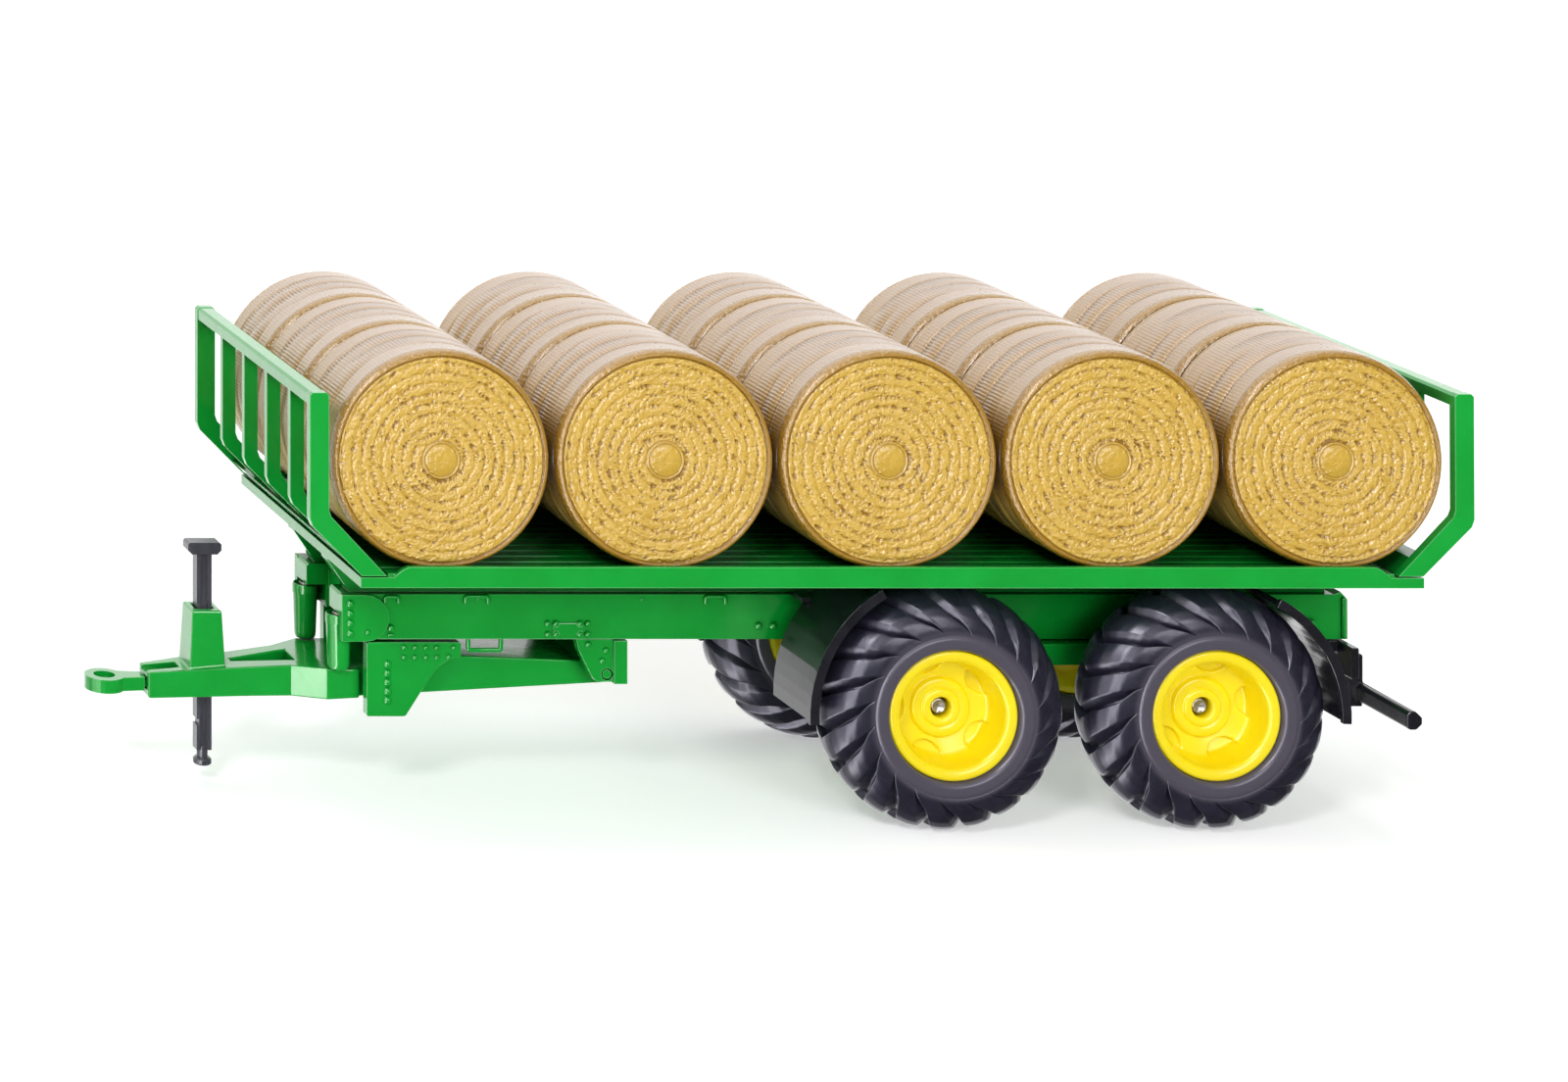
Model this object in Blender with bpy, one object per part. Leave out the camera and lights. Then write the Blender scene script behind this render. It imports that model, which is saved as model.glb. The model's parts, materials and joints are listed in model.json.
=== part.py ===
"""Toy round-bale trailer, 1:32: a tandem trailer with two slatted end gates, a sprung drawbar and fifteen bales.

Frame: +X points to the rear gate and -X to the tow eye, -Y is the left side and +Z is up. The origin lies on the
ground, on the centreline, halfway along the whole length. Every dimension below is in millimetres.
"""

import math

import bmesh
import bpy
from mathutils import Matrix, Vector

MM = 0.001
GAP = 0.3
SIDES = (("left", -1.0), ("right", 1.0))

# Deck and end gates, which are mirror images of each other about DECK_MID.
HALF_WIDTH = 40.0
DECK_MID = 18.3
DECK_HALF_LENGTH = 113.6
DECK_BOTTOM = 54.3
DECK_LIP_TOP = 56.5
DECK_TOP = 57.1
PLANK_HALF_LENGTH = 107.6
PLANK_GROOVE_COUNT = 18
PLANK_GROOVE_WIDTH = 0.8
PLANK_GROOVE_DEPTH = 0.45
RAIL_WIDTH = 1.3
RAIL_TOP = 58.7
RAIL_HALF_LENGTH = 103.9
GATE_HALF_LENGTH = 124.45
GATE_TOP = 95.4
GATE_DEPTH = 4.1
GATE_BEND = 68.0
GATE_FOOT_HALF_LENGTH = 113.4
GATE_FOOT_DEPTH = 5.3
GATE_SLAT_COUNT = 6
GATE_SLAT_WIDTH = 2.0
GATE_BAR_WIDTH = 1.7
GATE_BAR_RECESS = 1.0
GATE_RAIL_HEIGHT = 2.8
GATE_SILL_HEIGHT = 3.4

# Round bales, five along the deck and three across it.
BALE_RADIUS = 23.3
BALE_FACE_RADIUS = 22.5
BALE_WIDTH = 25.3
BALE_PITCH_X = 47.9
BALE_PITCH_Y = 25.75
BALE_COUNT_X = 5
BALE_SEGMENTS = 28

# Chassis: two beams with a narrower web on top that carries the deck.
BEAM_FRONT = -91.0
BEAM_REAR = 130.2
BEAM_INNER = 7.5
BEAM_OUTER = 15.0
BEAM_BOTTOM = 35.8
BEAM_TOP = 45.5
BEAM_NOSE_BOTTOM = 40.8
BEAM_NOTCH_REAR = -86.6
WEB_INNER = 9.0
WEB_OUTER = 13.2
CROSS_MEMBERS = (-84.0, -40.0, -5.0, 22.0, 60.0, 98.0, 126.0)
DOUBLER_LENGTH = 10.4
DOUBLER_THICKNESS = 0.7
DOUBLER_DROP = 0.4

# Drawbar: two arms that spread to a pair of shoulders, then a tongue back to the pivot.
DRAWBAR_FRONT = -129.65
DRAWBAR_FRONT_BOTTOM = 19.25
DRAWBAR_SLOPE = 0.0553
DRAWBAR_FRONT_HALF_WIDTH = 3.6
SHOULDER_FRONT = -92.4
SHOULDER_REAR = -85.6
SHOULDER_HALF_WIDTH = 11.0
SHOULDER_TOP = 28.0
TONGUE_HALF_WIDTH = 9.7
PIVOT_X = -32.4
PIVOT_Z = 27.9
PIVOT_RADIUS = 1.0
PIVOT_BOSS_RADIUS = 3.3

# Tow eye.
EYE_RADIUS = 4.3
EYE_HOLE_RADIUS = 2.35
EYE_THICKNESS = 3.0
EYE_Z = 21.9
EYE_X = -(DECK_MID + GATE_HALF_LENGTH) + EYE_RADIUS

# Support leg in its tapered housing.
LEG_X = -116.7
LEG_SIZE_X = 3.3
LEG_SIZE_Y = 3.0
LEG_FOOT_BOTTOM = 3.8
LEG_TOP = 50.2
HOUSING_TOP = 38.4
HOUSING_BOTTOM = 22.5

# Drawbar cylinders.
CYLINDER_X = -90.2
CYLINDER_Y = 11.0
CYLINDER_RADIUS = 2.5
CYLINDER_BORE = 1.9
CYLINDER_TOP = 40.3
ROD_RADIUS = 1.3

# Wheels on fixed steel axles.
AXLE_XS = (("front", 33.0), ("rear", 89.5))
WHEEL_Z = 26.0
AXLE_RADIUS = 1.65
AXLE_HALF_LENGTH = 28.0
TYRE_RADIUS = 26.0
TYRE_INNER_FACE = 20.4
TYRE_OUTER_FACE = 37.2
TYRE_LUG_COUNT = 20
TYRE_STEPS_PER_LUG = 3
TYRE_LUG_HEIGHT = 1.5
RIM_RADIUS = 13.9
RIM_SEGMENTS = 30
HUB_BORE = 2.2
GUARD_RADII = {"front": 30.9, "rear": 28.1}
GUARD_THICKNESS = 1.2
GUARD_INNER_FACE = 18.6
GUARD_OUTER_FACE = 37.0
GUARD_STEPS = 12


def new_material(name, colour, roughness, metallic=0.0):
    material = bpy.data.materials.new(name)
    material.use_nodes = True
    shader = material.node_tree.nodes["Principled BSDF"]
    shader.inputs["Base Color"].default_value = (*colour, 1.0)
    shader.inputs["Roughness"].default_value = roughness
    shader.inputs["Metallic"].default_value = metallic
    material.diffuse_color = (*colour, 1.0)
    return material


def object_from(name, points, faces):
    """A closed mesh object from points in millimetres, with its faces turned outwards."""
    mesh = bpy.data.meshes.new(name)
    mesh.from_pydata([Vector(point) * MM for point in points], [], faces)
    shape = bmesh.new()
    shape.from_mesh(mesh)
    bmesh.ops.recalc_face_normals(shape, faces=shape.faces)
    shape.to_mesh(mesh)
    shape.free()
    obj = bpy.data.objects.new(name, mesh)
    bpy.context.scene.collection.objects.link(obj)
    return obj


def prism(outline, axis, low, high):
    """The outline swept along an axis. It lists (x, z) for axis Y, (x, y) for axis Z and (y, z) for axis X."""
    place = {
        "X": lambda a, b, along: (along, a, b),
        "Y": lambda a, b, along: (a, along, b),
        "Z": lambda a, b, along: (a, b, along),
    }[axis]
    count = len(outline)
    points = [place(a, b, low) for a, b in outline] + [place(a, b, high) for a, b in outline]
    faces = [tuple(range(count)), tuple(range(2 * count - 1, count - 1, -1))]
    for index in range(count):
        after = (index + 1) % count
        faces.append((index, after, count + after, count + index))
    return object_from("prism", points, faces)


def box(low, high):
    outline = [(low[0], low[2]), (high[0], low[2]), (high[0], high[2]), (low[0], high[2])]
    return prism(outline, "Y", low[1], high[1])


def mirrored_pair(outline, inner, outer):
    """The same (x, z) outline swept between inner and outer on both sides of the centreline."""
    return [prism(outline, "Y", min(s * inner, s * outer), max(s * inner, s * outer)) for _, s in SIDES]


def arc(centre, radius, start_degrees, end_degrees, steps):
    points = []
    for index in range(steps + 1):
        angle = math.radians(start_degrees + (end_degrees - start_degrees) * index / steps)
        points.append((centre[0] + radius * math.cos(angle), centre[1] + radius * math.sin(angle)))
    return points


def lathe(profile, segments, closed, centre=(0.0, 0.0, 0.0), axis="Y"):
    """The profile of (along, radius) points turned about an axis. An open profile gets a flat face at each end."""
    points = []
    for along, radius in profile:
        for index in range(segments):
            angle = 2.0 * math.pi * index / segments
            across = radius * math.cos(angle)
            up = radius * math.sin(angle)
            offset = (across, along, up) if axis == "Y" else (across, up, along)
            points.append(tuple(c + o for c, o in zip(centre, offset)))
    faces = []
    rows = len(profile)
    for row in range(rows if closed else rows - 1):
        for index in range(segments):
            after = (index + 1) % segments
            below = (row + 1) % rows
            faces.append(
                (row * segments + index, row * segments + after, below * segments + after, below * segments + index)
            )
    if not closed:
        faces.append(tuple(range(segments)))
        faces.append(tuple(range((rows - 1) * segments, rows * segments)))
    return object_from("lathe", points, faces)


def rod(radius, low, high, centre, axis="Y", segments=20):
    return lathe([(low, radius), (high, radius)], segments, closed=False, centre=centre, axis=axis)


def boolean(obj, other, operation):
    modifier = obj.modifiers.new(operation.lower(), "BOOLEAN")
    modifier.operation = operation
    modifier.object = other
    modifier.solver = "EXACT"


def finish(name, adds, cuts=(), common=None, material=None, origin=(0.0, 0.0, 0.0), smooth_degrees=35.0):
    """Joins the solids in adds, keeps what lies inside common, takes away cuts, and names the result."""
    base = adds[0]
    for other in adds[1:]:
        boolean(base, other, "UNION")
    if common:
        boolean(base, common, "INTERSECT")
    for other in cuts:
        boolean(base, other, "DIFFERENCE")
    evaluated = base.evaluated_get(bpy.context.evaluated_depsgraph_get())
    mesh = bpy.data.meshes.new_from_object(evaluated)
    shape = bmesh.new()
    shape.from_mesh(mesh)
    bmesh.ops.remove_doubles(shape, verts=shape.verts, dist=0.00001)
    bmesh.ops.dissolve_limit(shape, angle_limit=math.radians(0.5), verts=shape.verts, edges=shape.edges)
    bmesh.ops.triangulate(shape, faces=[face for face in shape.faces if len(face.verts) > 4])
    limit = math.radians(smooth_degrees)
    for edge in shape.edges:
        edge.smooth = len(edge.link_faces) == 2 and edge.calc_face_angle(0.0) < limit
    for face in shape.faces:
        face.smooth = True
    shape.to_mesh(mesh)
    shape.free()
    mesh.name = name
    mesh.transform(Matrix.Translation(-Vector(origin) * MM))
    mesh.materials.clear()
    mesh.materials.append(material)
    for helper in [*adds, *cuts, *([common] if common else [])]:
        bpy.data.objects.remove(helper)
    obj = bpy.data.objects.new(name, mesh)
    obj.location = Vector(origin) * MM
    bpy.context.scene.collection.objects.link(obj)
    return obj


def hang(name, centre, children):
    """An empty on a joint's axis that carries the pieces moving with that joint."""
    empty = bpy.data.objects.new(name, None)
    empty.empty_display_size = 5.0 * MM
    empty.location = Vector(centre) * MM
    bpy.context.scene.collection.objects.link(empty)
    for child in children:
        child.parent = empty
        child.location -= empty.location


def mirror_x(outline, end):
    """Moves an outline drawn as (distance from DECK_MID, z) to the front end (-1) or the rear end (+1)."""
    return [(DECK_MID + end * distance, height) for distance, height in outline]


def build_deck(material):
    adds = [
        box(
            (DECK_MID - DECK_HALF_LENGTH, -HALF_WIDTH, DECK_BOTTOM),
            (DECK_MID + DECK_HALF_LENGTH, HALF_WIDTH, DECK_LIP_TOP),
        )
    ]
    plank_half_width = HALF_WIDTH - 0.5 * RAIL_WIDTH
    pitch = 2.0 * (HALF_WIDTH - RAIL_WIDTH) / (PLANK_GROOVE_COUNT + 1)
    outline = [(plank_half_width, DECK_LIP_TOP - 0.6), (plank_half_width, DECK_TOP)]
    for index in range(PLANK_GROOVE_COUNT):
        middle = HALF_WIDTH - RAIL_WIDTH - pitch * (index + 1)
        half = 0.5 * PLANK_GROOVE_WIDTH
        outline.append((middle + half, DECK_TOP))
        outline.append((middle + 0.6 * half, DECK_TOP - PLANK_GROOVE_DEPTH))
        outline.append((middle - 0.6 * half, DECK_TOP - PLANK_GROOVE_DEPTH))
        outline.append((middle - half, DECK_TOP))
    outline += [(-plank_half_width, DECK_TOP), (-plank_half_width, DECK_LIP_TOP - 0.6)]
    adds.append(prism(outline, "X", DECK_MID - PLANK_HALF_LENGTH, DECK_MID + PLANK_HALF_LENGTH))
    rail = [
        (-RAIL_HALF_LENGTH - 3.0, DECK_LIP_TOP - 0.8),
        (RAIL_HALF_LENGTH + 3.0, DECK_LIP_TOP - 0.8),
        (RAIL_HALF_LENGTH + 2.4, DECK_LIP_TOP + 0.3),
        (RAIL_HALF_LENGTH + 0.6, RAIL_TOP - 0.5),
        (RAIL_HALF_LENGTH - 0.6, RAIL_TOP),
        (-RAIL_HALF_LENGTH + 0.6, RAIL_TOP),
        (-RAIL_HALF_LENGTH - 0.6, RAIL_TOP - 0.5),
        (-RAIL_HALF_LENGTH - 2.4, DECK_LIP_TOP + 0.3),
    ]
    adds += mirrored_pair([(DECK_MID + x, z) for x, z in rail], HALF_WIDTH - RAIL_WIDTH, HALF_WIDTH)
    return finish("load_deck", adds, material=material)


def gate_slope():
    """How far the gate's outer face leans inwards for each millimetre of height below the bend."""
    return (GATE_HALF_LENGTH - GATE_FOOT_HALF_LENGTH) / (GATE_BEND - DECK_LIP_TOP - GAP)


def build_gate(name, end, material):
    foot = DECK_LIP_TOP + GAP
    inner_bend = GATE_BEND + 1.9
    slat = [
        (GATE_HALF_LENGTH, GATE_TOP - 0.6),
        (GATE_HALF_LENGTH, GATE_BEND + 0.8),
        (GATE_HALF_LENGTH - 0.6, GATE_BEND - 0.8),
        (GATE_FOOT_HALF_LENGTH, foot),
        (GATE_FOOT_HALF_LENGTH - GATE_FOOT_DEPTH, foot),
        (GATE_HALF_LENGTH - GATE_DEPTH - 0.5, inner_bend - 0.7),
        (GATE_HALF_LENGTH - GATE_DEPTH, inner_bend + 0.7),
        (GATE_HALF_LENGTH - GATE_DEPTH, GATE_TOP - 0.6),
        (GATE_HALF_LENGTH - GATE_DEPTH + 0.6, GATE_TOP),
        (GATE_HALF_LENGTH - 0.6, GATE_TOP),
    ]
    bar = [
        (GATE_HALF_LENGTH - GATE_BAR_RECESS, GATE_TOP - 1.0),
        (GATE_HALF_LENGTH - GATE_BAR_RECESS, GATE_BEND + 1.1),
        (GATE_HALF_LENGTH - GATE_BAR_RECESS - 0.6, GATE_BEND - 0.5),
        (GATE_FOOT_HALF_LENGTH - GATE_BAR_RECESS, foot + 0.3),
        (GATE_FOOT_HALF_LENGTH - GATE_FOOT_DEPTH + 0.4, foot + 0.3),
        (GATE_HALF_LENGTH - GATE_DEPTH - 0.4, inner_bend - 0.7),
        (GATE_HALF_LENGTH - GATE_DEPTH + 0.1, inner_bend + 0.7),
        (GATE_HALF_LENGTH - GATE_DEPTH + 0.1, GATE_TOP - 1.0),
    ]
    pitch = (2.0 * HALF_WIDTH - GATE_SLAT_WIDTH) / (GATE_SLAT_COUNT - 1)
    adds = mirrored_pair(mirror_x(slat, end), HALF_WIDTH - GATE_SLAT_WIDTH, HALF_WIDTH)
    for index in range(1, GATE_SLAT_COUNT - 1):
        middle = -HALF_WIDTH + 0.5 * GATE_SLAT_WIDTH + index * pitch
        adds.append(prism(mirror_x(bar, end), "Y", middle - 0.5 * GATE_BAR_WIDTH, middle + 0.5 * GATE_BAR_WIDTH))
    inside = 0.15
    rail = [
        (GATE_HALF_LENGTH - inside, GATE_TOP - GATE_RAIL_HEIGHT),
        (GATE_HALF_LENGTH - inside, GATE_TOP - 0.7),
        (GATE_HALF_LENGTH - 0.7, GATE_TOP - inside),
        (GATE_HALF_LENGTH - GATE_DEPTH + 0.7, GATE_TOP - inside),
        (GATE_HALF_LENGTH - GATE_DEPTH + inside, GATE_TOP - 0.7),
        (GATE_HALF_LENGTH - GATE_DEPTH + inside, GATE_TOP - GATE_RAIL_HEIGHT),
    ]
    adds.append(prism(mirror_x(rail, end), "Y", -HALF_WIDTH + 0.5, HALF_WIDTH - 0.5))
    slope = gate_slope()
    sill_top = foot + GATE_SILL_HEIGHT
    sill = [
        (GATE_FOOT_HALF_LENGTH - inside, foot + 0.1),
        (GATE_FOOT_HALF_LENGTH - GATE_FOOT_DEPTH + inside + 0.2, foot + 0.1),
        (GATE_FOOT_HALF_LENGTH - GATE_FOOT_DEPTH + slope * GATE_SILL_HEIGHT + 0.4, sill_top),
        (GATE_FOOT_HALF_LENGTH + slope * GATE_SILL_HEIGHT - 0.4, sill_top),
    ]
    adds.append(prism(mirror_x(sill, end), "Y", -HALF_WIDTH + 0.5, HALF_WIDTH - 0.5))
    return finish(name, adds, material=material)


def build_bales(material):
    half = 0.5 * BALE_WIDTH
    profile = [
        (-half, BALE_FACE_RADIUS),
        (-half + 0.35, BALE_FACE_RADIUS + 0.55),
        (-half + 1.1, BALE_RADIUS),
        (half - 1.1, BALE_RADIUS),
        (half - 0.35, BALE_FACE_RADIUS + 0.55),
        (half, BALE_FACE_RADIUS),
    ]
    height = DECK_TOP + GAP + BALE_RADIUS
    for column in range(BALE_COUNT_X):
        for row, across in (("left", -BALE_PITCH_Y), ("middle", 0.0), ("right", BALE_PITCH_Y)):
            along = DECK_MID + (column - 0.5 * (BALE_COUNT_X - 1)) * BALE_PITCH_X
            centre = (along, across, height)
            bale = lathe(profile, BALE_SEGMENTS, closed=False, centre=centre)
            finish(f"bale_{column + 1}_{row}", [bale], material=material, origin=centre, smooth_degrees=30.0)


def build_chassis(material):
    beam = [
        (BEAM_FRONT, BEAM_NOSE_BOTTOM),
        (BEAM_NOTCH_REAR, BEAM_NOSE_BOTTOM),
        (BEAM_NOTCH_REAR, BEAM_BOTTOM),
        (BEAM_REAR, BEAM_BOTTOM),
        (BEAM_REAR, BEAM_TOP - 1.0),
        (BEAM_REAR - 1.5, BEAM_TOP + 0.6),
        (BEAM_REAR - 3.0, BEAM_TOP),
        (BEAM_FRONT + 0.5, BEAM_TOP),
        (BEAM_FRONT, BEAM_TOP - 0.5),
    ]
    web = [
        (BEAM_FRONT + 3.0, BEAM_TOP - 1.0),
        (BEAM_REAR - 4.0, BEAM_TOP - 1.0),
        (BEAM_REAR - 4.0, DECK_BOTTOM - GAP),
        (DECK_MID - DECK_HALF_LENGTH + 2.0, DECK_BOTTOM - GAP),
        (DECK_MID - DECK_HALF_LENGTH + 2.0, DECK_BOTTOM - 2.0),
    ]
    doubler_middle = 0.5 * (BEAM_BOTTOM - DOUBLER_DROP + BEAM_TOP)
    doubler_radius = doubler_middle - (BEAM_BOTTOM - DOUBLER_DROP)
    doubler_end = BEAM_FRONT + DOUBLER_LENGTH - doubler_radius
    doubler = [(BEAM_FRONT, BEAM_TOP), (BEAM_FRONT, BEAM_BOTTOM - DOUBLER_DROP)]
    doubler += arc((doubler_end, doubler_middle), doubler_radius, -90.0, 90.0, 10)
    adds = mirrored_pair(beam, BEAM_INNER, BEAM_OUTER)
    adds += mirrored_pair(web, WEB_INNER, WEB_OUTER)
    adds += mirrored_pair(doubler, BEAM_OUTER - 1.0, BEAM_OUTER + DOUBLER_THICKNESS)
    for x in CROSS_MEMBERS:
        adds.append(box((x - 2.0, -BEAM_INNER - 1.0, BEAM_BOTTOM + 1.2), (x + 2.0, BEAM_INNER + 1.0, BEAM_TOP - 1.2)))
    return finish("chassis_frame", adds, material=material)


def build_side_plates(material):
    top = BEAM_BOTTOM - DOUBLER_DROP - GAP
    outline = [
        (-85.4, top),
        (-85.4, 19.1),
        (-76.9, 19.1),
        (-71.6, 27.4),
        (-69.6, 29.9),
        (-67.4, 31.3),
        (-64.7, 31.8),
        (-64.7, top),
    ]
    for name, side in SIDES:
        plate = prism(outline, "Y", min(side * 12.8, side * 15.2), max(side * 12.8, side * 15.2))
        finish(f"side_plate_{name}", [plate], material=material)


def build_pivot_bracket(material):
    top = BEAM_BOTTOM - GAP
    cheek = [
        (PIVOT_X + 1.5, top),
        (PIVOT_X - 6.8, top),
        (PIVOT_X - 6.2, PIVOT_Z + 5.1),
        (PIVOT_X - 3.5, PIVOT_Z - 0.3),
        (PIVOT_X - 2.8, PIVOT_Z - 1.2),
        (PIVOT_X - 1.8, PIVOT_Z - 1.6),
        (PIVOT_X + 1.0, PIVOT_Z - 1.6),
        (PIVOT_X + 1.5, PIVOT_Z - 1.2),
    ]
    adds = mirrored_pair(cheek, 12.0, 14.3)
    post = [
        (PIVOT_X + 1.3, top - 0.1),
        (PIVOT_X + 1.3, PIVOT_Z - 1.9),
        (PIVOT_X + 4.2, PIVOT_Z - 1.9),
        (PIVOT_X + 4.2, top - 0.1),
    ]
    adds += mirrored_pair(post, 11.6, 14.9)
    adds.append(box((PIVOT_X + 1.5, -13.0, PIVOT_Z + 4.6), (PIVOT_X + 4.0, 13.0, top)))
    hole = rod(PIVOT_RADIUS + GAP, -16.0, 16.0, (PIVOT_X, 0.0, PIVOT_Z))
    finish("drawbar_bracket", adds, [hole], material=material)


def drawbar_bottom(x):
    return DRAWBAR_FRONT_BOTTOM + DRAWBAR_SLOPE * (x - DRAWBAR_FRONT)


def build_drawbar(material):
    plan_half = [
        (DRAWBAR_FRONT, DRAWBAR_FRONT_HALF_WIDTH),
        (-112.0, 5.4),
        (-99.3, 7.2),
        (SHOULDER_FRONT, SHOULDER_HALF_WIDTH),
        (SHOULDER_REAR, SHOULDER_HALF_WIDTH),
        (SHOULDER_REAR, TONGUE_HALF_WIDTH),
        (PIVOT_X + PIVOT_BOSS_RADIUS + 1.0, TONGUE_HALF_WIDTH),
    ]
    plan = plan_half + [(x, -y) for x, y in reversed(plan_half)]
    body = prism(plan, "Z", 10.0, 45.0)
    boss = arc((PIVOT_X, PIVOT_Z), PIVOT_BOSS_RADIUS, -80.0, 120.0, 10)
    side = [
        (DRAWBAR_FRONT, drawbar_bottom(DRAWBAR_FRONT)),
        *boss,
        (-36.6, 29.5),
        (-62.0, 30.5),
        (-66.0, 30.5),
        (-83.0, SHOULDER_TOP),
        (SHOULDER_FRONT, SHOULDER_TOP),
        (-99.3, 27.6),
        (DRAWBAR_FRONT, 24.9),
    ]
    silhouette = prism(side, "Y", -20.0, 20.0)
    plan_gap = [(-110.5, -0.8), (-97.2, -3.6), (-97.2, 3.6), (-110.5, 0.8)]
    cuts = [
        prism(plan_gap, "Z", 5.0, 50.0),
        rod(PIVOT_RADIUS + GAP, -20.0, 20.0, (PIVOT_X, 0.0, PIVOT_Z)),
        box((-82.0, -TONGUE_HALF_WIDTH + 1.8, 10.0), (-44.0, TONGUE_HALF_WIDTH - 1.8, 28.0)),
        box((DRAWBAR_FRONT - 1.0, -1.9, 24.0), (LEG_X - 5.5, 1.9, 30.0)),
        box((DRAWBAR_FRONT - 1.0, -2.0, EYE_Z - 1.0), (DRAWBAR_FRONT + 3.3, 2.0, EYE_Z + 1.0)),
    ]
    trunk = finish("trunk", [body], cuts, common=silhouette, material=material)
    low = [(-4.1, -4.3), (4.1, -4.3), (4.1, 4.3), (-4.1, 4.3)]
    high = [(-3.25, -3.6), (3.25, -3.6), (3.25, 3.6), (-3.25, 3.6)]
    points = [(LEG_X + x, y, HOUSING_BOTTOM) for x, y in low] + [(LEG_X + x, y, HOUSING_TOP) for x, y in high]
    faces = [(0, 1, 2, 3), (7, 6, 5, 4), (0, 4, 5, 1), (1, 5, 6, 2), (2, 6, 7, 3), (3, 7, 4, 0)]
    housing = object_from("housing", points, faces)
    half_x = 0.5 * LEG_SIZE_X + GAP
    half_y = 0.5 * LEG_SIZE_Y + GAP
    guide = box((LEG_X - half_x, -half_y, 10.0), (LEG_X + half_x, half_y, 50.0))
    return finish("drawbar", [trunk, housing], [guide], material=material, origin=(PIVOT_X, 0.0, PIVOT_Z))


def build_tow_eye(material):
    low = EYE_Z - 0.5 * EYE_THICKNESS
    high = EYE_Z + 0.5 * EYE_THICKNESS
    ring = rod(EYE_RADIUS, low, high, (EYE_X, 0.0, 0.0), axis="Z", segments=28)
    shank_end = DRAWBAR_FRONT - 0.4
    shank = [
        (EYE_X + 2.6, -2.6),
        (shank_end - 1.4, -2.0),
        (shank_end, -2.0),
        (shank_end, 2.0),
        (shank_end - 1.4, 2.0),
        (EYE_X + 2.6, 2.6),
    ]
    tang = box((shank_end - 1.0, -1.7, EYE_Z - 0.7), (DRAWBAR_FRONT + 2.9, 1.7, EYE_Z + 0.7))
    hole = rod(EYE_HOLE_RADIUS, low - 1.0, high + 1.0, (EYE_X, 0.0, 0.0), axis="Z", segments=24)
    return finish("tow_eye", [ring, prism(shank, "Z", low, high), tang], [hole], material=material)


def build_support_leg(material):
    half_x = 0.5 * LEG_SIZE_X
    half_y = 0.5 * LEG_SIZE_Y
    section = [
        (-half_x, -half_y),
        (-0.8, -half_y),
        (-0.8, -half_y + 0.7),
        (0.8, -half_y + 0.7),
        (0.8, -half_y),
        (half_x, -half_y),
    ]
    section += [(-x, -y) for x, y in section]
    shaft = prism([(LEG_X + x, y) for x, y in section], "Z", LEG_FOOT_BOTTOM + 3.4, LEG_TOP + 0.5)
    handle = [(-3.7, 0.9), (-2.8, 0.0), (2.8, 0.0), (3.7, 0.9), (3.7, 2.2), (3.3, 2.6), (-3.3, 2.6), (-3.7, 2.2)]
    adds = [
        shaft,
        prism([(LEG_X + x, LEG_TOP + z) for x, z in handle], "Y", -1.9, 1.9),
        rod(1.2, LEG_FOOT_BOTTOM + 1.2, LEG_FOOT_BOTTOM + 4.0, (LEG_X, 0.0, 0.0), axis="Z"),
        lathe(
            [
                (LEG_FOOT_BOTTOM, 1.7),
                (LEG_FOOT_BOTTOM + 0.3, 2.0),
                (LEG_FOOT_BOTTOM + 1.2, 2.0),
                (LEG_FOOT_BOTTOM + 1.6, 1.6),
            ],
            20,
            closed=False,
            centre=(LEG_X, 0.0, 0.0),
            axis="Z",
        ),
    ]
    notch = box((LEG_X - 3.0, -3.0, 12.6), (LEG_X - half_x + 0.5, 3.0, 14.0))
    return finish("support_leg", adds, [notch], material=material, origin=(LEG_X, 0.0, LEG_FOOT_BOTTOM))


def build_cylinders(paint, steel):
    """Barrels that stand on the drawbar's shoulders, around rods that hang from the beams. Returns the barrels."""
    barrels = []
    for name, side in SIDES:
        centre = (CYLINDER_X, side * CYLINDER_Y, 0.0)
        bottom = SHOULDER_TOP + GAP
        barrel = [
            (bottom, CYLINDER_RADIUS - 0.1),
            (CYLINDER_TOP - 2.6, CYLINDER_RADIUS),
            (CYLINDER_TOP - 2.3, CYLINDER_RADIUS + 0.25),
            (CYLINDER_TOP, CYLINDER_RADIUS + 0.25),
            (CYLINDER_TOP, CYLINDER_BORE),
            (bottom + 1.4, CYLINDER_BORE),
            (bottom + 1.4, 0.4),
            (bottom, 0.4),
        ]
        solid = lathe(barrel, 22, closed=True, centre=centre, axis="Z")
        barrels.append(finish(f"cylinder_barrel_{name}", [solid], material=paint))
        piston = rod(ROD_RADIUS, bottom + 2.2, BEAM_NOSE_BOTTOM - GAP, centre, axis="Z", segments=18)
        finish(f"cylinder_rod_{name}", [piston], material=steel)
    return barrels


def build_axle_carrier(material):
    front = AXLE_XS[0][1]
    rear = AXLE_XS[1][1]
    top = BEAM_BOTTOM - GAP
    outline = [(front - 14.0, top), (front - 7.0, WHEEL_Z - 2.0)]
    outline += arc((front, WHEEL_Z), 5.2, 215.0, 325.0, 6)
    outline += [(front + 12.0, WHEEL_Z + 5.0), (rear - 12.0, WHEEL_Z + 5.0)]
    outline += arc((rear, WHEEL_Z), 5.2, 215.0, 325.0, 6)
    outline += [(rear + 7.0, WHEEL_Z - 2.0), (rear + 14.0, top)]
    adds = mirrored_pair(outline, 12.0, 17.6)
    adds.append(box((front - 6.0, -12.5, WHEEL_Z + 3.4), (front + 6.0, 12.5, top)))
    adds.append(box((rear - 6.0, -12.5, WHEEL_Z + 3.4), (rear + 6.0, 12.5, top)))
    cuts = [rod(AXLE_RADIUS + GAP, -20.0, 20.0, (x, 0.0, WHEEL_Z)) for _, x in AXLE_XS]
    finish("axle_carrier", adds, cuts, material=material)


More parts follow.
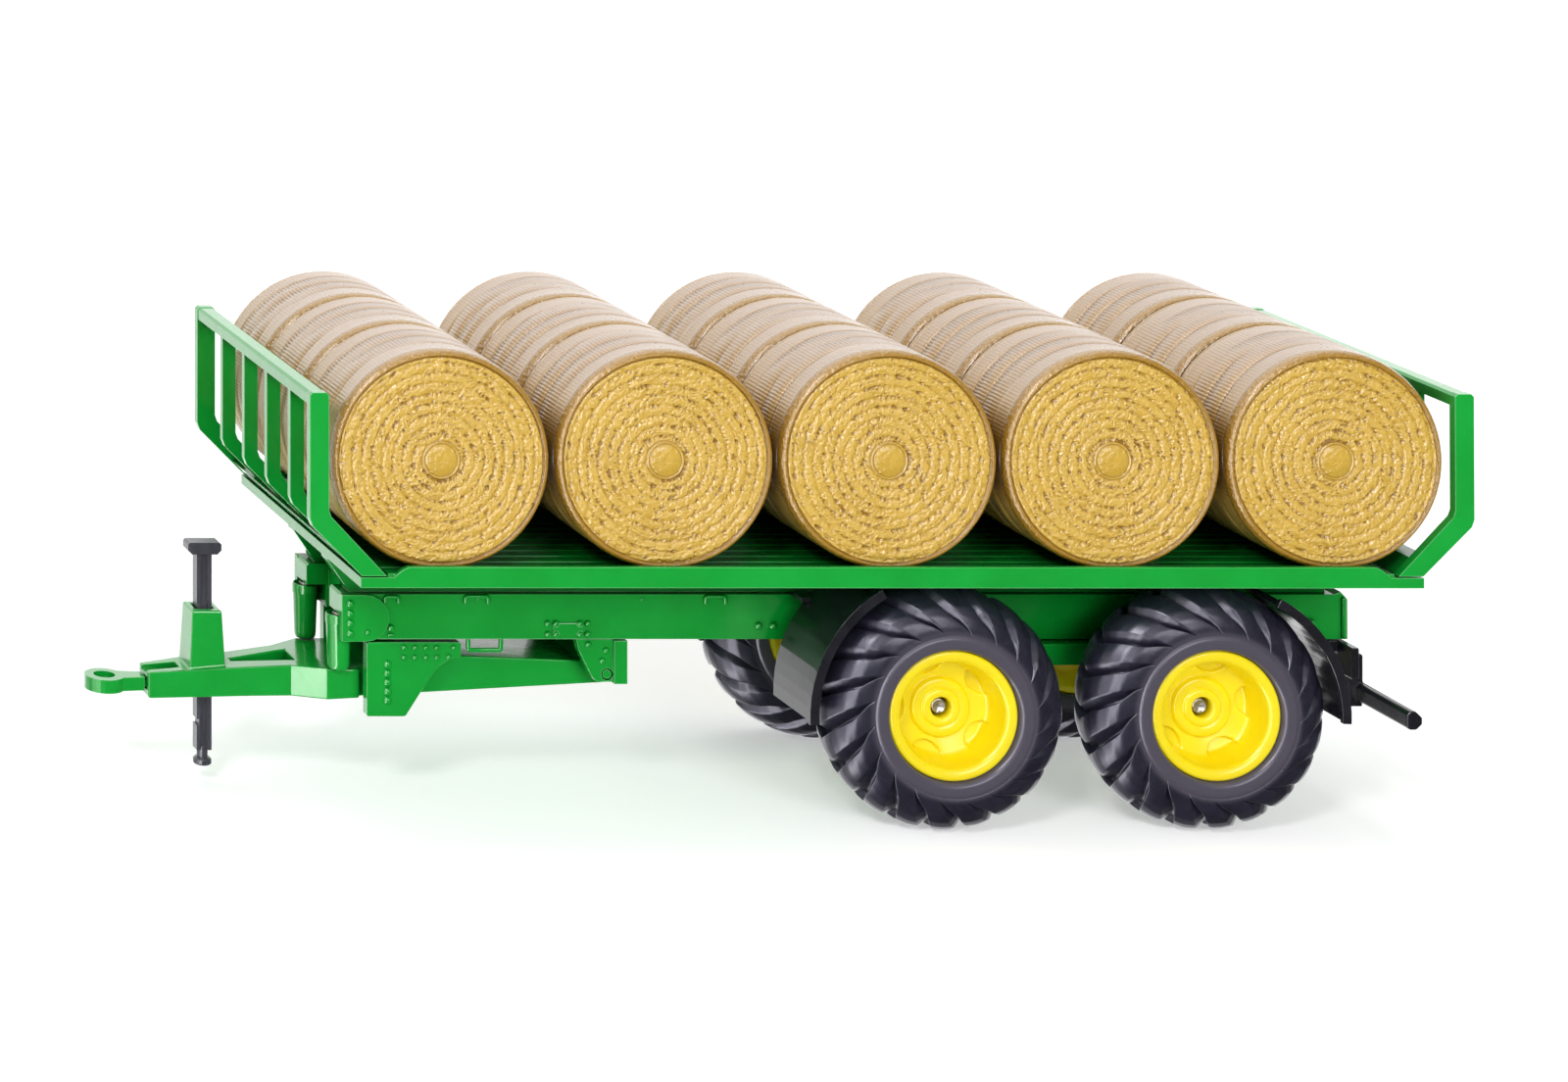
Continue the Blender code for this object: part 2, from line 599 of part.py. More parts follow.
def tyre_profile():
    """(distance from the wheel's middle plane, radius, lug share, lug sweep) from the outer bead to the inner bead."""
    half = 0.5 * (TYRE_OUTER_FACE - TYRE_INNER_FACE)
    bead = RIM_RADIUS + GAP
    base = TYRE_RADIUS - TYRE_LUG_HEIGHT
    outer = [
        (half - 0.5, bead, 0.0, 0.0),
        (half, bead + 1.0, 0.0, 0.0),
        (half - 0.1, 17.4, 0.0, 0.0),
        (half - 0.6, 19.8, 0.6, 0.25),
        (half - 2.4, 22.6, 1.0, 0.6),
        (half - 5.2, base - 0.3, 1.0, 0.9),
    ]
    middle = [(0.0, base, 1.0, 1.2)]
    inner = [(-along, radius, share, sweep) for along, radius, share, sweep in reversed(outer)]
    return outer + middle + inner


def build_tyre(name, side, x, material):
    """A balloon tyre with curved chevron lugs. Both halves sweep the same way round from their own shoulder."""
    profile = tyre_profile()
    steps = TYRE_LUG_COUNT * TYRE_STEPS_PER_LUG
    lug_angle = 2.0 * math.pi / TYRE_LUG_COUNT
    centre = (x, side * 0.5 * (TYRE_INNER_FACE + TYRE_OUTER_FACE), WHEEL_Z)
    points = []
    for along, radius, share, sweep in profile:
        for step in range(steps):
            raised = TYRE_LUG_HEIGHT * share if step % TYRE_STEPS_PER_LUG == 0 else 0.0
            angle = 2.0 * math.pi * step / steps + sweep * lug_angle
            reach = radius + raised
            points.append(
                (centre[0] + reach * math.cos(angle), centre[1] + side * along, centre[2] + reach * math.sin(angle))
            )
    rows = len(profile)
    faces = []
    for row in range(rows):
        below = (row + 1) % rows
        for step in range(steps):
            after = (step + 1) % steps
            faces.append((row * steps + step, row * steps + after, below * steps + after, below * steps + step))
    solid = object_from("tyre", points, faces)
    finish(name, [solid], material=material, origin=centre, smooth_degrees=18.0)


def build_rim(name, side, x, material):
    """A deep-dished rim whose hub turns on the fixed axle."""
    middle = 0.5 * (TYRE_INNER_FACE + TYRE_OUTER_FACE)
    profile = [
        (36.0, RIM_RADIUS - 0.3),
        (36.2, RIM_RADIUS - 0.9),
        (35.6, RIM_RADIUS - 1.6),
        (31.6, 11.4),
        (29.2, 8.6),
        (28.7, 5.9),
        (29.9, 5.5),
        (29.9, HUB_BORE),
        (21.6, HUB_BORE),
        (21.6, RIM_RADIUS),
        (35.6, RIM_RADIUS),
    ]
    centre = (x, side * middle, WHEEL_Z)
    solid = lathe([(side * (y - middle), r) for y, r in profile], RIM_SEGMENTS, closed=True, centre=centre)
    finish(name, [solid], material=material, origin=centre)


def build_mudguard(name, side, x, radius, start, end, material):
    """A curved guard with a raised lip on its outer edge and a stay that reaches towards the beam."""
    outer = arc((x, WHEEL_Z), radius, start, end, GUARD_STEPS)
    inner = arc((x, WHEEL_Z), radius - GUARD_THICKNESS, end, start, GUARD_STEPS)
    over = math.copysign(0.8, end - start)
    lip_outer = arc((x, WHEEL_Z), radius + 0.4, start - over, end + over, GUARD_STEPS)
    lip_inner = arc((x, WHEEL_Z), radius - GUARD_THICKNESS - 0.4, end + over, start - over, GUARD_STEPS)

    def across(low, high):
        return min(side * low, side * high), max(side * low, side * high)

    middle = math.radians(start + 0.7 * (end - start))
    stay_x = x + (radius - 0.5 * GUARD_THICKNESS) * math.cos(middle)
    stay_z = WHEEL_Z + (radius - 0.5 * GUARD_THICKNESS) * math.sin(middle)
    low, high = across(BEAM_OUTER + GAP, GUARD_INNER_FACE + 1.5)
    adds = [
        prism(outer + inner, "Y", *across(GUARD_INNER_FACE, GUARD_OUTER_FACE)),
        prism(lip_outer + lip_inner, "Y", *across(GUARD_OUTER_FACE - 0.9, GUARD_OUTER_FACE + 0.1)),
        box((stay_x - 2.4, low, stay_z - 0.5), (stay_x + 2.4, high, stay_z + 0.5)),
    ]
    finish(name, adds, material=material)


def build_rear_guard(material):
    """The light board under the beams and, below it, the bumper bar on its two hangers."""
    board = box((127.9, -20.4, 28.7), (129.5, 20.4, BEAM_BOTTOM - GAP))
    finish("light_board", [board, box((126.0, -15.0, 33.0), (128.6, 15.0, BEAM_BOTTOM - GAP))], material=material)
    bar = [
        (131.1, 23.3),
        (131.7, 22.7),
        (133.2, 22.7),
        (134.5, 23.9),
        (134.5, 25.3),
        (133.0, 26.7),
        (131.9, 26.7),
        (131.1, 25.9),
    ]
    adds = [prism(bar, "Y", -35.0, 35.0)]
    for _, side in SIDES:
        low, high = min(side * 13.0, side * 16.5), max(side * 13.0, side * 16.5)
        adds.append(box((129.8, low, 21.6), (132.6, high, 33.0)))
    finish("bumper_bar", adds, material=material)


def main():
    for obj in list(bpy.data.objects):
        bpy.data.objects.remove(obj)
    green = new_material("green_paint", (0.012, 0.24, 0.035), 0.3)
    straw = new_material("bale_plastic", (0.72, 0.42, 0.08), 0.45)
    yellow = new_material("rim_yellow", (0.9, 0.72, 0.01), 0.35)
    rubber = new_material("tyre_rubber", (0.02, 0.02, 0.025), 0.55)
    black = new_material("black_plastic", (0.012, 0.012, 0.014), 0.3)
    steel = new_material("steel", (0.55, 0.55, 0.55), 0.35, 1.0)
    build_deck(green)
    build_gate("front_gate", -1.0, green)
    build_gate("rear_gate", 1.0, green)
    build_chassis(green)
    build_side_plates(green)
    build_pivot_bracket(green)
    drawbar = [build_drawbar(green), build_tow_eye(green), build_support_leg(black)]
    drawbar += build_cylinders(green, steel)
    hang("drawbar_pivot", (PIVOT_X, 0.0, PIVOT_Z), drawbar)
    pin = rod(PIVOT_RADIUS, -14.1, 14.1, (PIVOT_X, 0.0, PIVOT_Z))
    finish("drawbar_pin", [pin], material=green)
    build_axle_carrier(green)
    for axle, x in AXLE_XS:
        shaft = rod(AXLE_RADIUS, -AXLE_HALF_LENGTH, AXLE_HALF_LENGTH, (x, 0.0, WHEEL_Z))
        finish(f"axle_{axle}", [shaft], material=steel)
        for name, side in SIDES:
            build_tyre(f"tyre_{axle}_{name}", side, x, rubber)
            build_rim(f"rim_{axle}_{name}", side, x, yellow)
            start, end = (182.0, 121.0) if axle == "front" else (-2.0, 61.0)
            build_mudguard(f"mudguard_{axle}_{name}", side, x, GUARD_RADII[axle], start, end, black)
    build_rear_guard(black)
    build_bales(straw)


main()
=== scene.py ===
"""Looks of the toy round-bale trailer: fine meshes, procedural materials, studio and camera.

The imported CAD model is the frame. Lengths below are in millimetres unless a name says otherwise, and MM turns them
into metres. -X is the tow eye, -Y is the left side, +Z is up.
"""

import json
import math

import bmesh
import bpy
import numpy as np
from mathutils import Matrix, Vector

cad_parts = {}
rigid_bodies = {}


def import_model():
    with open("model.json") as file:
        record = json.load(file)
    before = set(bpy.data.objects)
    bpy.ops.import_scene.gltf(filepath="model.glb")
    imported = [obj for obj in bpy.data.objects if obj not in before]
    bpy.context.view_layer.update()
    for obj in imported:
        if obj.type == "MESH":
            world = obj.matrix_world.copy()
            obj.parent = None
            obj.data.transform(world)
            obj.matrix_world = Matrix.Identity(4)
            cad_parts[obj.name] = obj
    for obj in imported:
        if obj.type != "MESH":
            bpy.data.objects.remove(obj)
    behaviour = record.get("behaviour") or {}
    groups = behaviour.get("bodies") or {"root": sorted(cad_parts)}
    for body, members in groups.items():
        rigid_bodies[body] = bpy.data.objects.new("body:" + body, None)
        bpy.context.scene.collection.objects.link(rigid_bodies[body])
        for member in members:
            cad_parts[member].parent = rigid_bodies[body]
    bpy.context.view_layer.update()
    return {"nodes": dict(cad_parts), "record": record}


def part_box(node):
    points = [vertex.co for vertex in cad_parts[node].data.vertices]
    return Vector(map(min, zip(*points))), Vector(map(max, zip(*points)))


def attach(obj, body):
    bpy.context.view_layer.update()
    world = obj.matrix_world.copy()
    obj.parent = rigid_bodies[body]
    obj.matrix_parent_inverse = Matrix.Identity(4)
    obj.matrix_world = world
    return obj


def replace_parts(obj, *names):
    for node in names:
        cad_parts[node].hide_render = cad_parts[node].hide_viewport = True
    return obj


MM = 0.001
SIDES = (("left", -1.0), ("right", 1.0))
AXLES = ("front", "rear")

for startup in list(bpy.data.objects):
    bpy.data.objects.remove(startup)
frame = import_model()


# ---------------------------------------------------------------------------------------------------------------
# Mesh helpers
# ---------------------------------------------------------------------------------------------------------------


def mesh_from(name, points, faces, smooth=True):
    """A mesh from points in millimetres. faces is a list of index tuples, or an array of quads."""
    mesh = bpy.data.meshes.new(name)
    points = np.asarray(points, np.float64) * MM
    if isinstance(faces, np.ndarray):
        sizes = np.full(len(faces), faces.shape[1], np.int32)
        loops = faces.ravel().astype(np.int32)
    else:
        sizes = np.array([len(face) for face in faces], np.int32)
        loops = np.concatenate([np.asarray(face, np.int32) for face in faces])
    mesh.vertices.add(len(points))
    mesh.vertices.foreach_set("co", points.astype(np.float32).ravel())
    mesh.loops.add(len(loops))
    mesh.loops.foreach_set("vertex_index", loops)
    mesh.polygons.add(len(sizes))
    mesh.polygons.foreach_set("loop_start", np.concatenate([[0], np.cumsum(sizes)[:-1]]).astype(np.int32))
    mesh.update(calc_edges=True)
    mesh.validate()
    if smooth:
        mesh.shade_smooth()
    return mesh


def place(name, mesh, material, body, location=(0.0, 0.0, 0.0)):
    """A new piece at a point in millimetres, riding on a CAD body."""
    obj = bpy.data.objects.new(name, mesh)
    bpy.context.scene.collection.objects.link(obj)
    obj.location = Vector(location) * MM
    mesh.materials.append(material)
    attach(obj, body)
    return obj


def grid_faces(rows, columns, wrap_rows=False):
    """Quads of a grid whose columns close on themselves."""
    row = np.arange(rows if wrap_rows else rows - 1)
    column = np.arange(columns)
    a, b = np.meshgrid(row, column, indexing="ij")
    below = (a + 1) % rows
    after = (b + 1) % columns
    quads = np.stack([a * columns + b, a * columns + after, below * columns + after, below * columns + b], -1)
    return quads.reshape(-1, 4)


def tube_mesh(name, rows, flip=False):
    """Rings of points joined by quads, with a face over each end. flip turns every face over."""
    columns = len(rows[0])
    last = (len(rows) - 1) * columns
    faces = [tuple(quad) for quad in grid_faces(len(rows), columns)]
    faces += [tuple(range(columns - 1, -1, -1)), tuple(range(last, last + columns))]
    return mesh_from(name, np.concatenate(rows), [face[::-1] for face in faces] if flip else faces)


def circle(columns):
    """Evenly spaced angles of a full turn."""
    return 2.0 * math.pi * np.arange(columns) / columns


def smoothstep(low, high, value):
    share = np.clip((value - low) / (high - low), 0.0, 1.0)
    return share * share * (3.0 - 2.0 * share)


def turned(points, turn, facing):
    """Points made for a part that faces -Y, turned about Y, then mirrored for a part that faces +Y."""
    x, y, z = points[:, 0], points[:, 1], points[:, 2]
    cos, sin = math.cos(turn), math.sin(turn)
    points = np.stack([cos * x - sin * z, y, sin * x + cos * z], -1)
    return points if facing < 0 else points * np.array([-1.0, -1.0, 1.0])


def corner_of(node, high=False):
    """A node's corner in millimetres."""
    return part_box(node)[1 if high else 0] / MM


def middle_of(node):
    low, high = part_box(node)
    return (low + high) / (2.0 * MM)


def half_size(node):
    low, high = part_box(node)
    return (high - low) / (2.0 * MM)


# ---------------------------------------------------------------------------------------------------------------
# Material helpers
# ---------------------------------------------------------------------------------------------------------------


class Tree:
    """Adds nodes to a node tree and returns their output sockets."""

    def __init__(self, tree):
        self.tree = tree

    def add(self, kind, **settings):
        node = self.tree.nodes.new(kind)
        for key, value in settings.items():
            setattr(node, key, value)
        return node

    def link(self, source, target):
        self.tree.links.new(source, target)

    def fill(self, target, value):
        """Gives a socket a number, a colour or a link."""
        if isinstance(value, (int, float)):
            target.default_value = value
        elif isinstance(value, tuple):
            target.default_value = (*value, 1.0)
        else:
            self.link(value, target)

    def remap(self, factor, low, high, from_low=0.0, from_high=1.0, **settings):
        node = self.add("ShaderNodeMapRange", **settings)
        for key, value in (("From Min", from_low), ("From Max", from_high), ("To Min", low), ("To Max", high)):
            node.inputs[key].default_value = value
        self.link(factor, node.inputs["Value"])
        return node.outputs["Result"]

    def rise(self, source, low, high, most):
        """0 below low, a smooth climb, and most above high."""
        return self.remap(source, 0.0, most, low, high, interpolation_type="SMOOTHSTEP")

    def mix(self, factor, first, second, kind="RGBA"):
        node = self.add("ShaderNodeMix", data_type="FLOAT" if kind == "VALUE" else kind)
        self.fill(node.inputs["Factor"], factor)
        for key, value in (("A", first), ("B", second)):
            self.fill(next(i for i in node.inputs if i.name == key and i.type == kind), value)
        return next(o for o in node.outputs if o.type == kind)

    def maths(self, operation, first, second):
        node = self.add("ShaderNodeMath", operation=operation)
        self.fill(node.inputs[0], first)
        self.fill(node.inputs[1], second)
        return node.outputs["Value"]

    def axes_of(self, direction, sign=1.0):
        """The three parts of a direction, each times a sign."""
        split = self.add("ShaderNodeSeparateXYZ")
        self.link(direction, split.inputs["Vector"])
        return [self.maths("MULTIPLY", split.outputs[axis], sign) for axis in "XYZ"]

    def is_ray(self, kind):
        return self.add("ShaderNodeLightPath").outputs[f"Is {kind} Ray"]


class Nodes(Tree):
    """Builds one procedural material. Coordinates are the object's own, so patterns ride with each piece."""

    def __init__(self, name):
        self.material = bpy.data.materials.new(name)
        self.material.use_nodes = True
        super().__init__(self.material.node_tree)
        self.shader = self.tree.nodes["Principled BSDF"]
        self.place = self.add("ShaderNodeTexCoord").outputs["Object"]

    def noise(self, scale, detail=3.0, roughness=0.5, stretch=None):
        texture = self.add("ShaderNodeTexNoise")
        texture.inputs["Scale"].default_value = scale
        texture.inputs["Detail"].default_value = detail
        texture.inputs["Roughness"].default_value = roughness
        source = self.place
        if stretch:
            mapping = self.add("ShaderNodeMapping")
            mapping.inputs["Scale"].default_value = stretch
            self.link(source, mapping.inputs["Vector"])
            source = mapping.outputs["Vector"]
        self.link(source, texture.inputs["Vector"])
        return texture.outputs["Fac"]

    def ramp(self, factor, *stops):
        ramp = self.add("ShaderNodeValToRGB")
        elements = ramp.color_ramp.elements
        while len(elements) < len(stops):
            elements.new(0.5)
        for element, (position, colour) in zip(elements, stops):
            element.position = position
            element.color = (*colour, 1.0) if len(colour) == 3 else colour
        self.link(factor, ramp.inputs["Fac"])
        return ramp.outputs["Color"]

    def value_of(self, attribute):
        return self.add("ShaderNodeAttribute", attribute_name=attribute).outputs["Fac"]

    def geometry(self, output):
        return self.add("ShaderNodeNewGeometry").outputs[output]

    def bump(self, height, distance, strength=1.0, normal=None):
        node = self.add("ShaderNodeBump")
        node.inputs["Distance"].default_value = distance
        node.inputs["Strength"].default_value = strength
        self.link(height, node.inputs["Height"])
        if normal is not None:
            self.link(normal, node.inputs["Normal"])
        return node.outputs["Normal"]

    def normal_at(self, radius_mm):
        """The normal of the same surface with its edges rounded."""
        node = self.add("ShaderNodeBevel", samples=BEVEL_SAMPLES)
        node.inputs["Radius"].default_value = radius_mm * MM
        return node.outputs["Normal"]

    def openness(self, reach_mm):
        """1 on an open face, falling to 0 in a corner as deep as the reach."""
        node = self.add("ShaderNodeAmbientOcclusion", samples=OPENNESS_SAMPLES)
        node.inputs["Distance"].default_value = reach_mm * MM
        return node.outputs["AO"]

    def set(self, **values):
        for key, value in values.items():
            self.fill(self.shader.inputs[key.replace("_", " ")], value)
        return self.material


# Reach of the painted corner shade on paint, radius of the painted edge highlight, and reach of the painted shade on
# straw, in mm.
CORNER_SHADE_REACH = 22.0
EDGE_HIGHLIGHT_RADIUS = 0.32
STRAW_SHADE_REACH = 7.0
BEVEL_SAMPLES = 6
OPENNESS_SAMPLES = 8


def green_paint():
    """Enamel on die-cast metal: deep green, a faint orange peel, a painted highlight along edges and painted shade in
    corners.
    """
    n = Nodes("green_enamel")
    shade = n.ramp(
        n.noise(70.0, 4.0), (0.3, (0.0025, 0.295, 0.028)), (0.55, (0.0035, 0.325, 0.034)), (0.8, (0.006, 0.350, 0.042))
    )
    flecks = n.remap(n.noise(2600.0, 2.0, 0.6), 0.0, 0.8, 0.68, 0.80)
    shade = n.mix(flecks, shade, (0.03, 0.42, 0.08))
    open_air = n.openness(CORNER_SHADE_REACH)
    # Painted highlight: a pale line along every edge, weaker in corners.
    bend = n.add("ShaderNodeVectorMath", operation="DOT_PRODUCT")
    n.link(n.normal_at(EDGE_HIGHLIGHT_RADIUS), bend.inputs[0])
    n.link(n.geometry("Normal"), bend.inputs[1])
    edge = n.remap(bend.outputs["Value"], 0.0, 0.62, 0.985, 0.80)
    edge = n.maths("MULTIPLY", edge, n.remap(open_air, 0.0, 1.0, 0.45, 0.75))
    shade = n.mix(edge, shade, (0.38, 0.80, 0.46))
    # Painted shade: darker in corners and under things, where the gloss and coat are weaker too.
    shade = n.mix(n.remap(open_air, 0.88, 0.0, 0.10, 0.62), shade, (0.0005, 0.028, 0.004))
    normal = n.bump(n.noise(900.0, 2.0), 0.00004, 0.5)
    normal = n.bump(n.noise(160.0, 2.0), 0.00022, 0.35, normal)
    rough = n.remap(n.noise(220.0, 3.0), 0.13, 0.24)
    gloss = n.remap(open_air, 0.08, 0.5, 0.25, 0.75)
    coat = n.remap(open_air, 0.0, 0.2, 0.25, 0.75)
    return n.set(
        Base_Color=shade,
        Roughness=rough,
        Coat_Weight=coat,
        Coat_Roughness=0.06,
        Normal=normal,
        Specular_IOR_Level=gloss,
    )


def straw_plastic():
    """Glossy golden plastic with painted shade in its hollows, painted light on its tips; duller net wrap with a
    painted sheen on top.

    Two values of the mesh steer it: straw, the relief's height, sets the painted shade and light; wrap is 1 on the net
    wrap.
    """
    n = Nodes("straw_plastic")
    height = n.value_of("straw")
    wrap = n.value_of("wrap")
    base = n.ramp(n.noise(160.0, 4.0), (0.3, (0.53, 0.325, 0.040)), (0.7, (0.61, 0.385, 0.058)))
    # Painted shade in the hollows of the relief and painted light on its raised tips.
    painted_hollow_shade = n.mix(n.remap(height, 0.0, 1.0, 0.0, 0.30), (0.34, 0.175, 0.018), base)
    painted_tip_light = n.mix(n.remap(height, 0.0, 0.6, 0.5, 1.0), painted_hollow_shade, (0.70, 0.46, 0.11))
    # Painted sheen: the net wrap paler where it faces up.
    upward = n.axes_of(n.geometry("Normal"))[2]
    painted_top_sheen = n.maths("MULTIPLY", wrap, n.remap(upward, 0.15, 0.9, 0.0, 0.85))
    wrapped = n.mix(painted_top_sheen, painted_tip_light, (0.50, 0.375, 0.295))
    # Painted shade in the rib and twine grooves of the net wrap.
    wrapped = n.mix(n.maths("MULTIPLY", wrap, n.remap(height, 0.92, 0.0, 0.0, 0.50)), wrapped, (0.27, 0.125, 0.02))
    # Painted shade in the notches between bales and other tight corners.
    wrapped = n.mix(n.remap(n.openness(STRAW_SHADE_REACH), 0.95, 0.0, 0.25, 0.85), wrapped, (0.20, 0.095, 0.007))
    ends = n.maths("MULTIPLY", n.maths("SUBTRACT", 1.0, wrap), n.noise(1150.0, 2.0, 0.6))
    normal = n.bump(ends, 0.00055, 0.85)
    normal = n.bump(n.noise(2600.0, 3.0, 0.6), 0.00008, 0.4, normal)
    rough = n.maths("ADD", n.remap(n.noise(700.0, 3.0), 0.12, 0.22), n.maths("MULTIPLY", wrap, 0.12))
    coat = n.remap(wrap, 0.4, 0.1)
    return n.set(
        Base_Color=wrapped,
        Roughness=rough,
        Normal=normal,
        Coat_Weight=coat,
        Coat_Roughness=0.08,
        Specular_IOR_Level=0.55,
    )


def rim_plastic():
    n = Nodes("rim_yellow_plastic")
    shade = n.ramp(n.noise(90.0, 4.0), (0.3, (0.83, 0.655, 0.0015)), (0.7, (0.89, 0.73, 0.003)))
    # Painted shade: darker in the concave creases of the dish.
    crease_shade = n.remap(n.geometry("Pointiness"), 1.0, 0.0, 0.40, 0.49)
    shade = n.mix(n.maths("MULTIPLY", crease_shade, 0.5), shade, (0.60, 0.38, 0.0))
    normal = n.bump(n.noise(1300.0, 3.0), 0.00005, 0.5)
    rough = n.remap(n.noise(260.0, 3.0), 0.24, 0.38)
    return n.set(
        Base_Color=shade,
        Roughness=rough,
        Normal=normal,
        Coat_Weight=0.2,
        Coat_Roughness=0.15,
        Subsurface_Weight=0.05,
        Subsurface_Scale=0.001,
    )


def tyre_rubber():
    """Blue-black soft plastic with a satin sheen and patches of dust, paler on the lugs' sharp edges, painted light on
    the sidewall ring.
    """
    n = Nodes("tyre_rubber")
    shade = n.ramp(n.noise(240.0, 5.0, 0.6), (0.3, (0.008, 0.0075, 0.015)), (0.75, (0.019, 0.018, 0.033)))
    dust = n.remap(n.noise(1500.0, 3.0, 0.6), 0.0, 0.45, 0.56, 0.82)
    shade = n.mix(dust, shade, (0.060, 0.058, 0.072))
    # Paler along the sharp convex edges of the lugs.
    pale_on_convex = n.remap(n.geometry("Pointiness"), 0.0, 0.5, 0.52, 0.60)
    shade = n.mix(pale_on_convex, shade, (0.070, 0.070, 0.090))
    # Painted light: the smooth sidewall ring paler, as if lit from above left.
    shade = n.mix(n.maths("MULTIPLY", n.value_of("wall"), 0.8), shade, (0.085, 0.077, 0.102))
    normal = n.bump(n.noise(1700.0, 3.0, 0.6), 0.00005, 0.4)
    rough = n.remap(n.noise(420.0, 4.0), 0.24, 0.38)
    return n.set(
        Base_Color=shade,
        Roughness=rough,
        Normal=normal,
        Specular_IOR_Level=0.52,
        Specular_Tint=(0.90, 0.88, 1.0),
    )


def black_plastic():
    n = Nodes("black_gloss_plastic")
    shade = n.ramp(n.noise(180.0, 4.0), (0.3, (0.008, 0.008, 0.011)), (0.75, (0.016, 0.016, 0.022)))
    scuff = n.remap(n.noise(900.0, 4.0, 0.65, stretch=(1.0, 1.0, 6.0)), 0.0, 0.3, 0.6, 0.8)
    shade = n.mix(scuff, shade, (0.05, 0.05, 0.06))
    normal = n.bump(n.noise(1100.0, 2.0), 0.00004, 0.5)
    rough = n.remap(n.noise(300.0, 3.0), 0.15, 0.30)
    return n.set(
        Base_Color=shade,
        Roughness=rough,
        Normal=normal,
        Coat_Weight=0.05,
        Coat_Roughness=0.1,
        Specular_IOR_Level=0.38,
    )


def leg_plastic():
    """Satin grey-black plastic with fine moulding grain along the leg."""
    n = Nodes("leg_satin_plastic")
    grain = n.noise(700.0, 4.0, 0.6, stretch=(1.0, 1.0, 0.12))
    shade = n.ramp(grain, (0.3, (0.030, 0.029, 0.040)), (0.7, (0.058, 0.056, 0.074)))
    normal = n.bump(grain, 0.00005, 0.6)
    return n.set(Base_Color=shade, Roughness=n.remap(grain, 0.26, 0.42), Normal=normal, Specular_IOR_Level=0.6)


def cut_steel():
    n = Nodes("cut_steel")
    lines = n.noise(1400.0, 4.0, 0.7, stretch=(1.0, 0.08, 1.0))
    shade = n.ramp(lines, (0.3, (0.36, 0.33, 0.30)), (0.7, (0.62, 0.58, 0.54)))
    normal = n.bump(lines, 0.00006, 0.7)
    return n.set(Base_Color=shade, Metallic=1.0, Roughness=n.remap(lines, 0.28, 0.5), Normal=normal)


GREEN = green_paint()
STRAW = straw_plastic()
YELLOW = rim_plastic()
RUBBER = tyre_rubber()
BLACK = black_plastic()
STEEL = cut_steel()
LEG = leg_plastic()
BY_SLOT = {
    "green_paint": GREEN,
    "straw": STRAW,
    "rim_yellow": YELLOW,
    "tyre": RUBBER,
    "black_plastic": BLACK,
    "steel": STEEL,
}


# Edge radii in millimetres. Any other casting has the usual one.
CASTING_RADIUS = {
    "tow_eye": 0.45,
    "drawbar": 0.45,
    "front_gate": 0.5,
    "rear_gate": 0.5,
    "bumper_bar": 0.5,
    "support_leg": 0.35,
    "side_plate_left": 0.35,
    "side_plate_right": 0.35,
    "cylinder_rod_left": 0.1,
    "cylinder_rod_right": 0.1,
}
USUAL_RADIUS = 0.3
SHARPEST_FACET = math.radians(28.0)
WELD_REACH = 0.01


def dress_cad_nodes():
    """Every node that stays gets its procedural material, and its hard edges get the radius of a casting."""
    slots = {part["node"]: part["material_slot"] for part in frame["record"]["subparts"]}
    for name, obj in frame["nodes"].items():
        obj.data.materials.clear()
        obj.data.materials.append(LEG if name == "support_leg" else BY_SLOT[slots[name]])
        weld = obj.modifiers.new("weld", "WELD")
        weld.merge_threshold = WELD_REACH * MM
        bevel = obj.modifiers.new("casting_radius", "BEVEL")
        bevel.width = CASTING_RADIUS.get(name, USUAL_RADIUS) * MM
        bevel.segments = 3
        bevel.limit_method = "ANGLE"
        bevel.angle_limit = SHARPEST_FACET
        bevel.use_clamp_overlap = True


# ---------------------------------------------------------------------------------------------------------------
# Bales
# ---------------------------------------------------------------------------------------------------------------

RIBS = 180
BALE_COLUMNS = 3 * RIBS
BALE_BOSS = 3.9
RING_PITCH = 2.15
SEAM_WIDTH = 0.26
STRAW_STEP = 0.12
STRAW_COUNT = 7500
STRAW_SEED = 7
TWINES = (-5.6, 0.0, 5.6)
SHOULDER = 2.1
SHOULDER_DROP = 1.15
# Rings of points on a face that shows, on one in the middle row, and on one that another bale covers.
SHOWN_RINGS = 88
MIDDLE_RINGS = 10
COVERED_RINGS = 8


def bale_angles():
    """Three columns for each rib: its groove, and an edge on each side of it."""
    pitch = 2.0 * math.pi / RIBS
    return (np.arange(RIBS)[:, None] * pitch + np.array([-0.25, 0.0, 0.25]) * pitch).ravel()


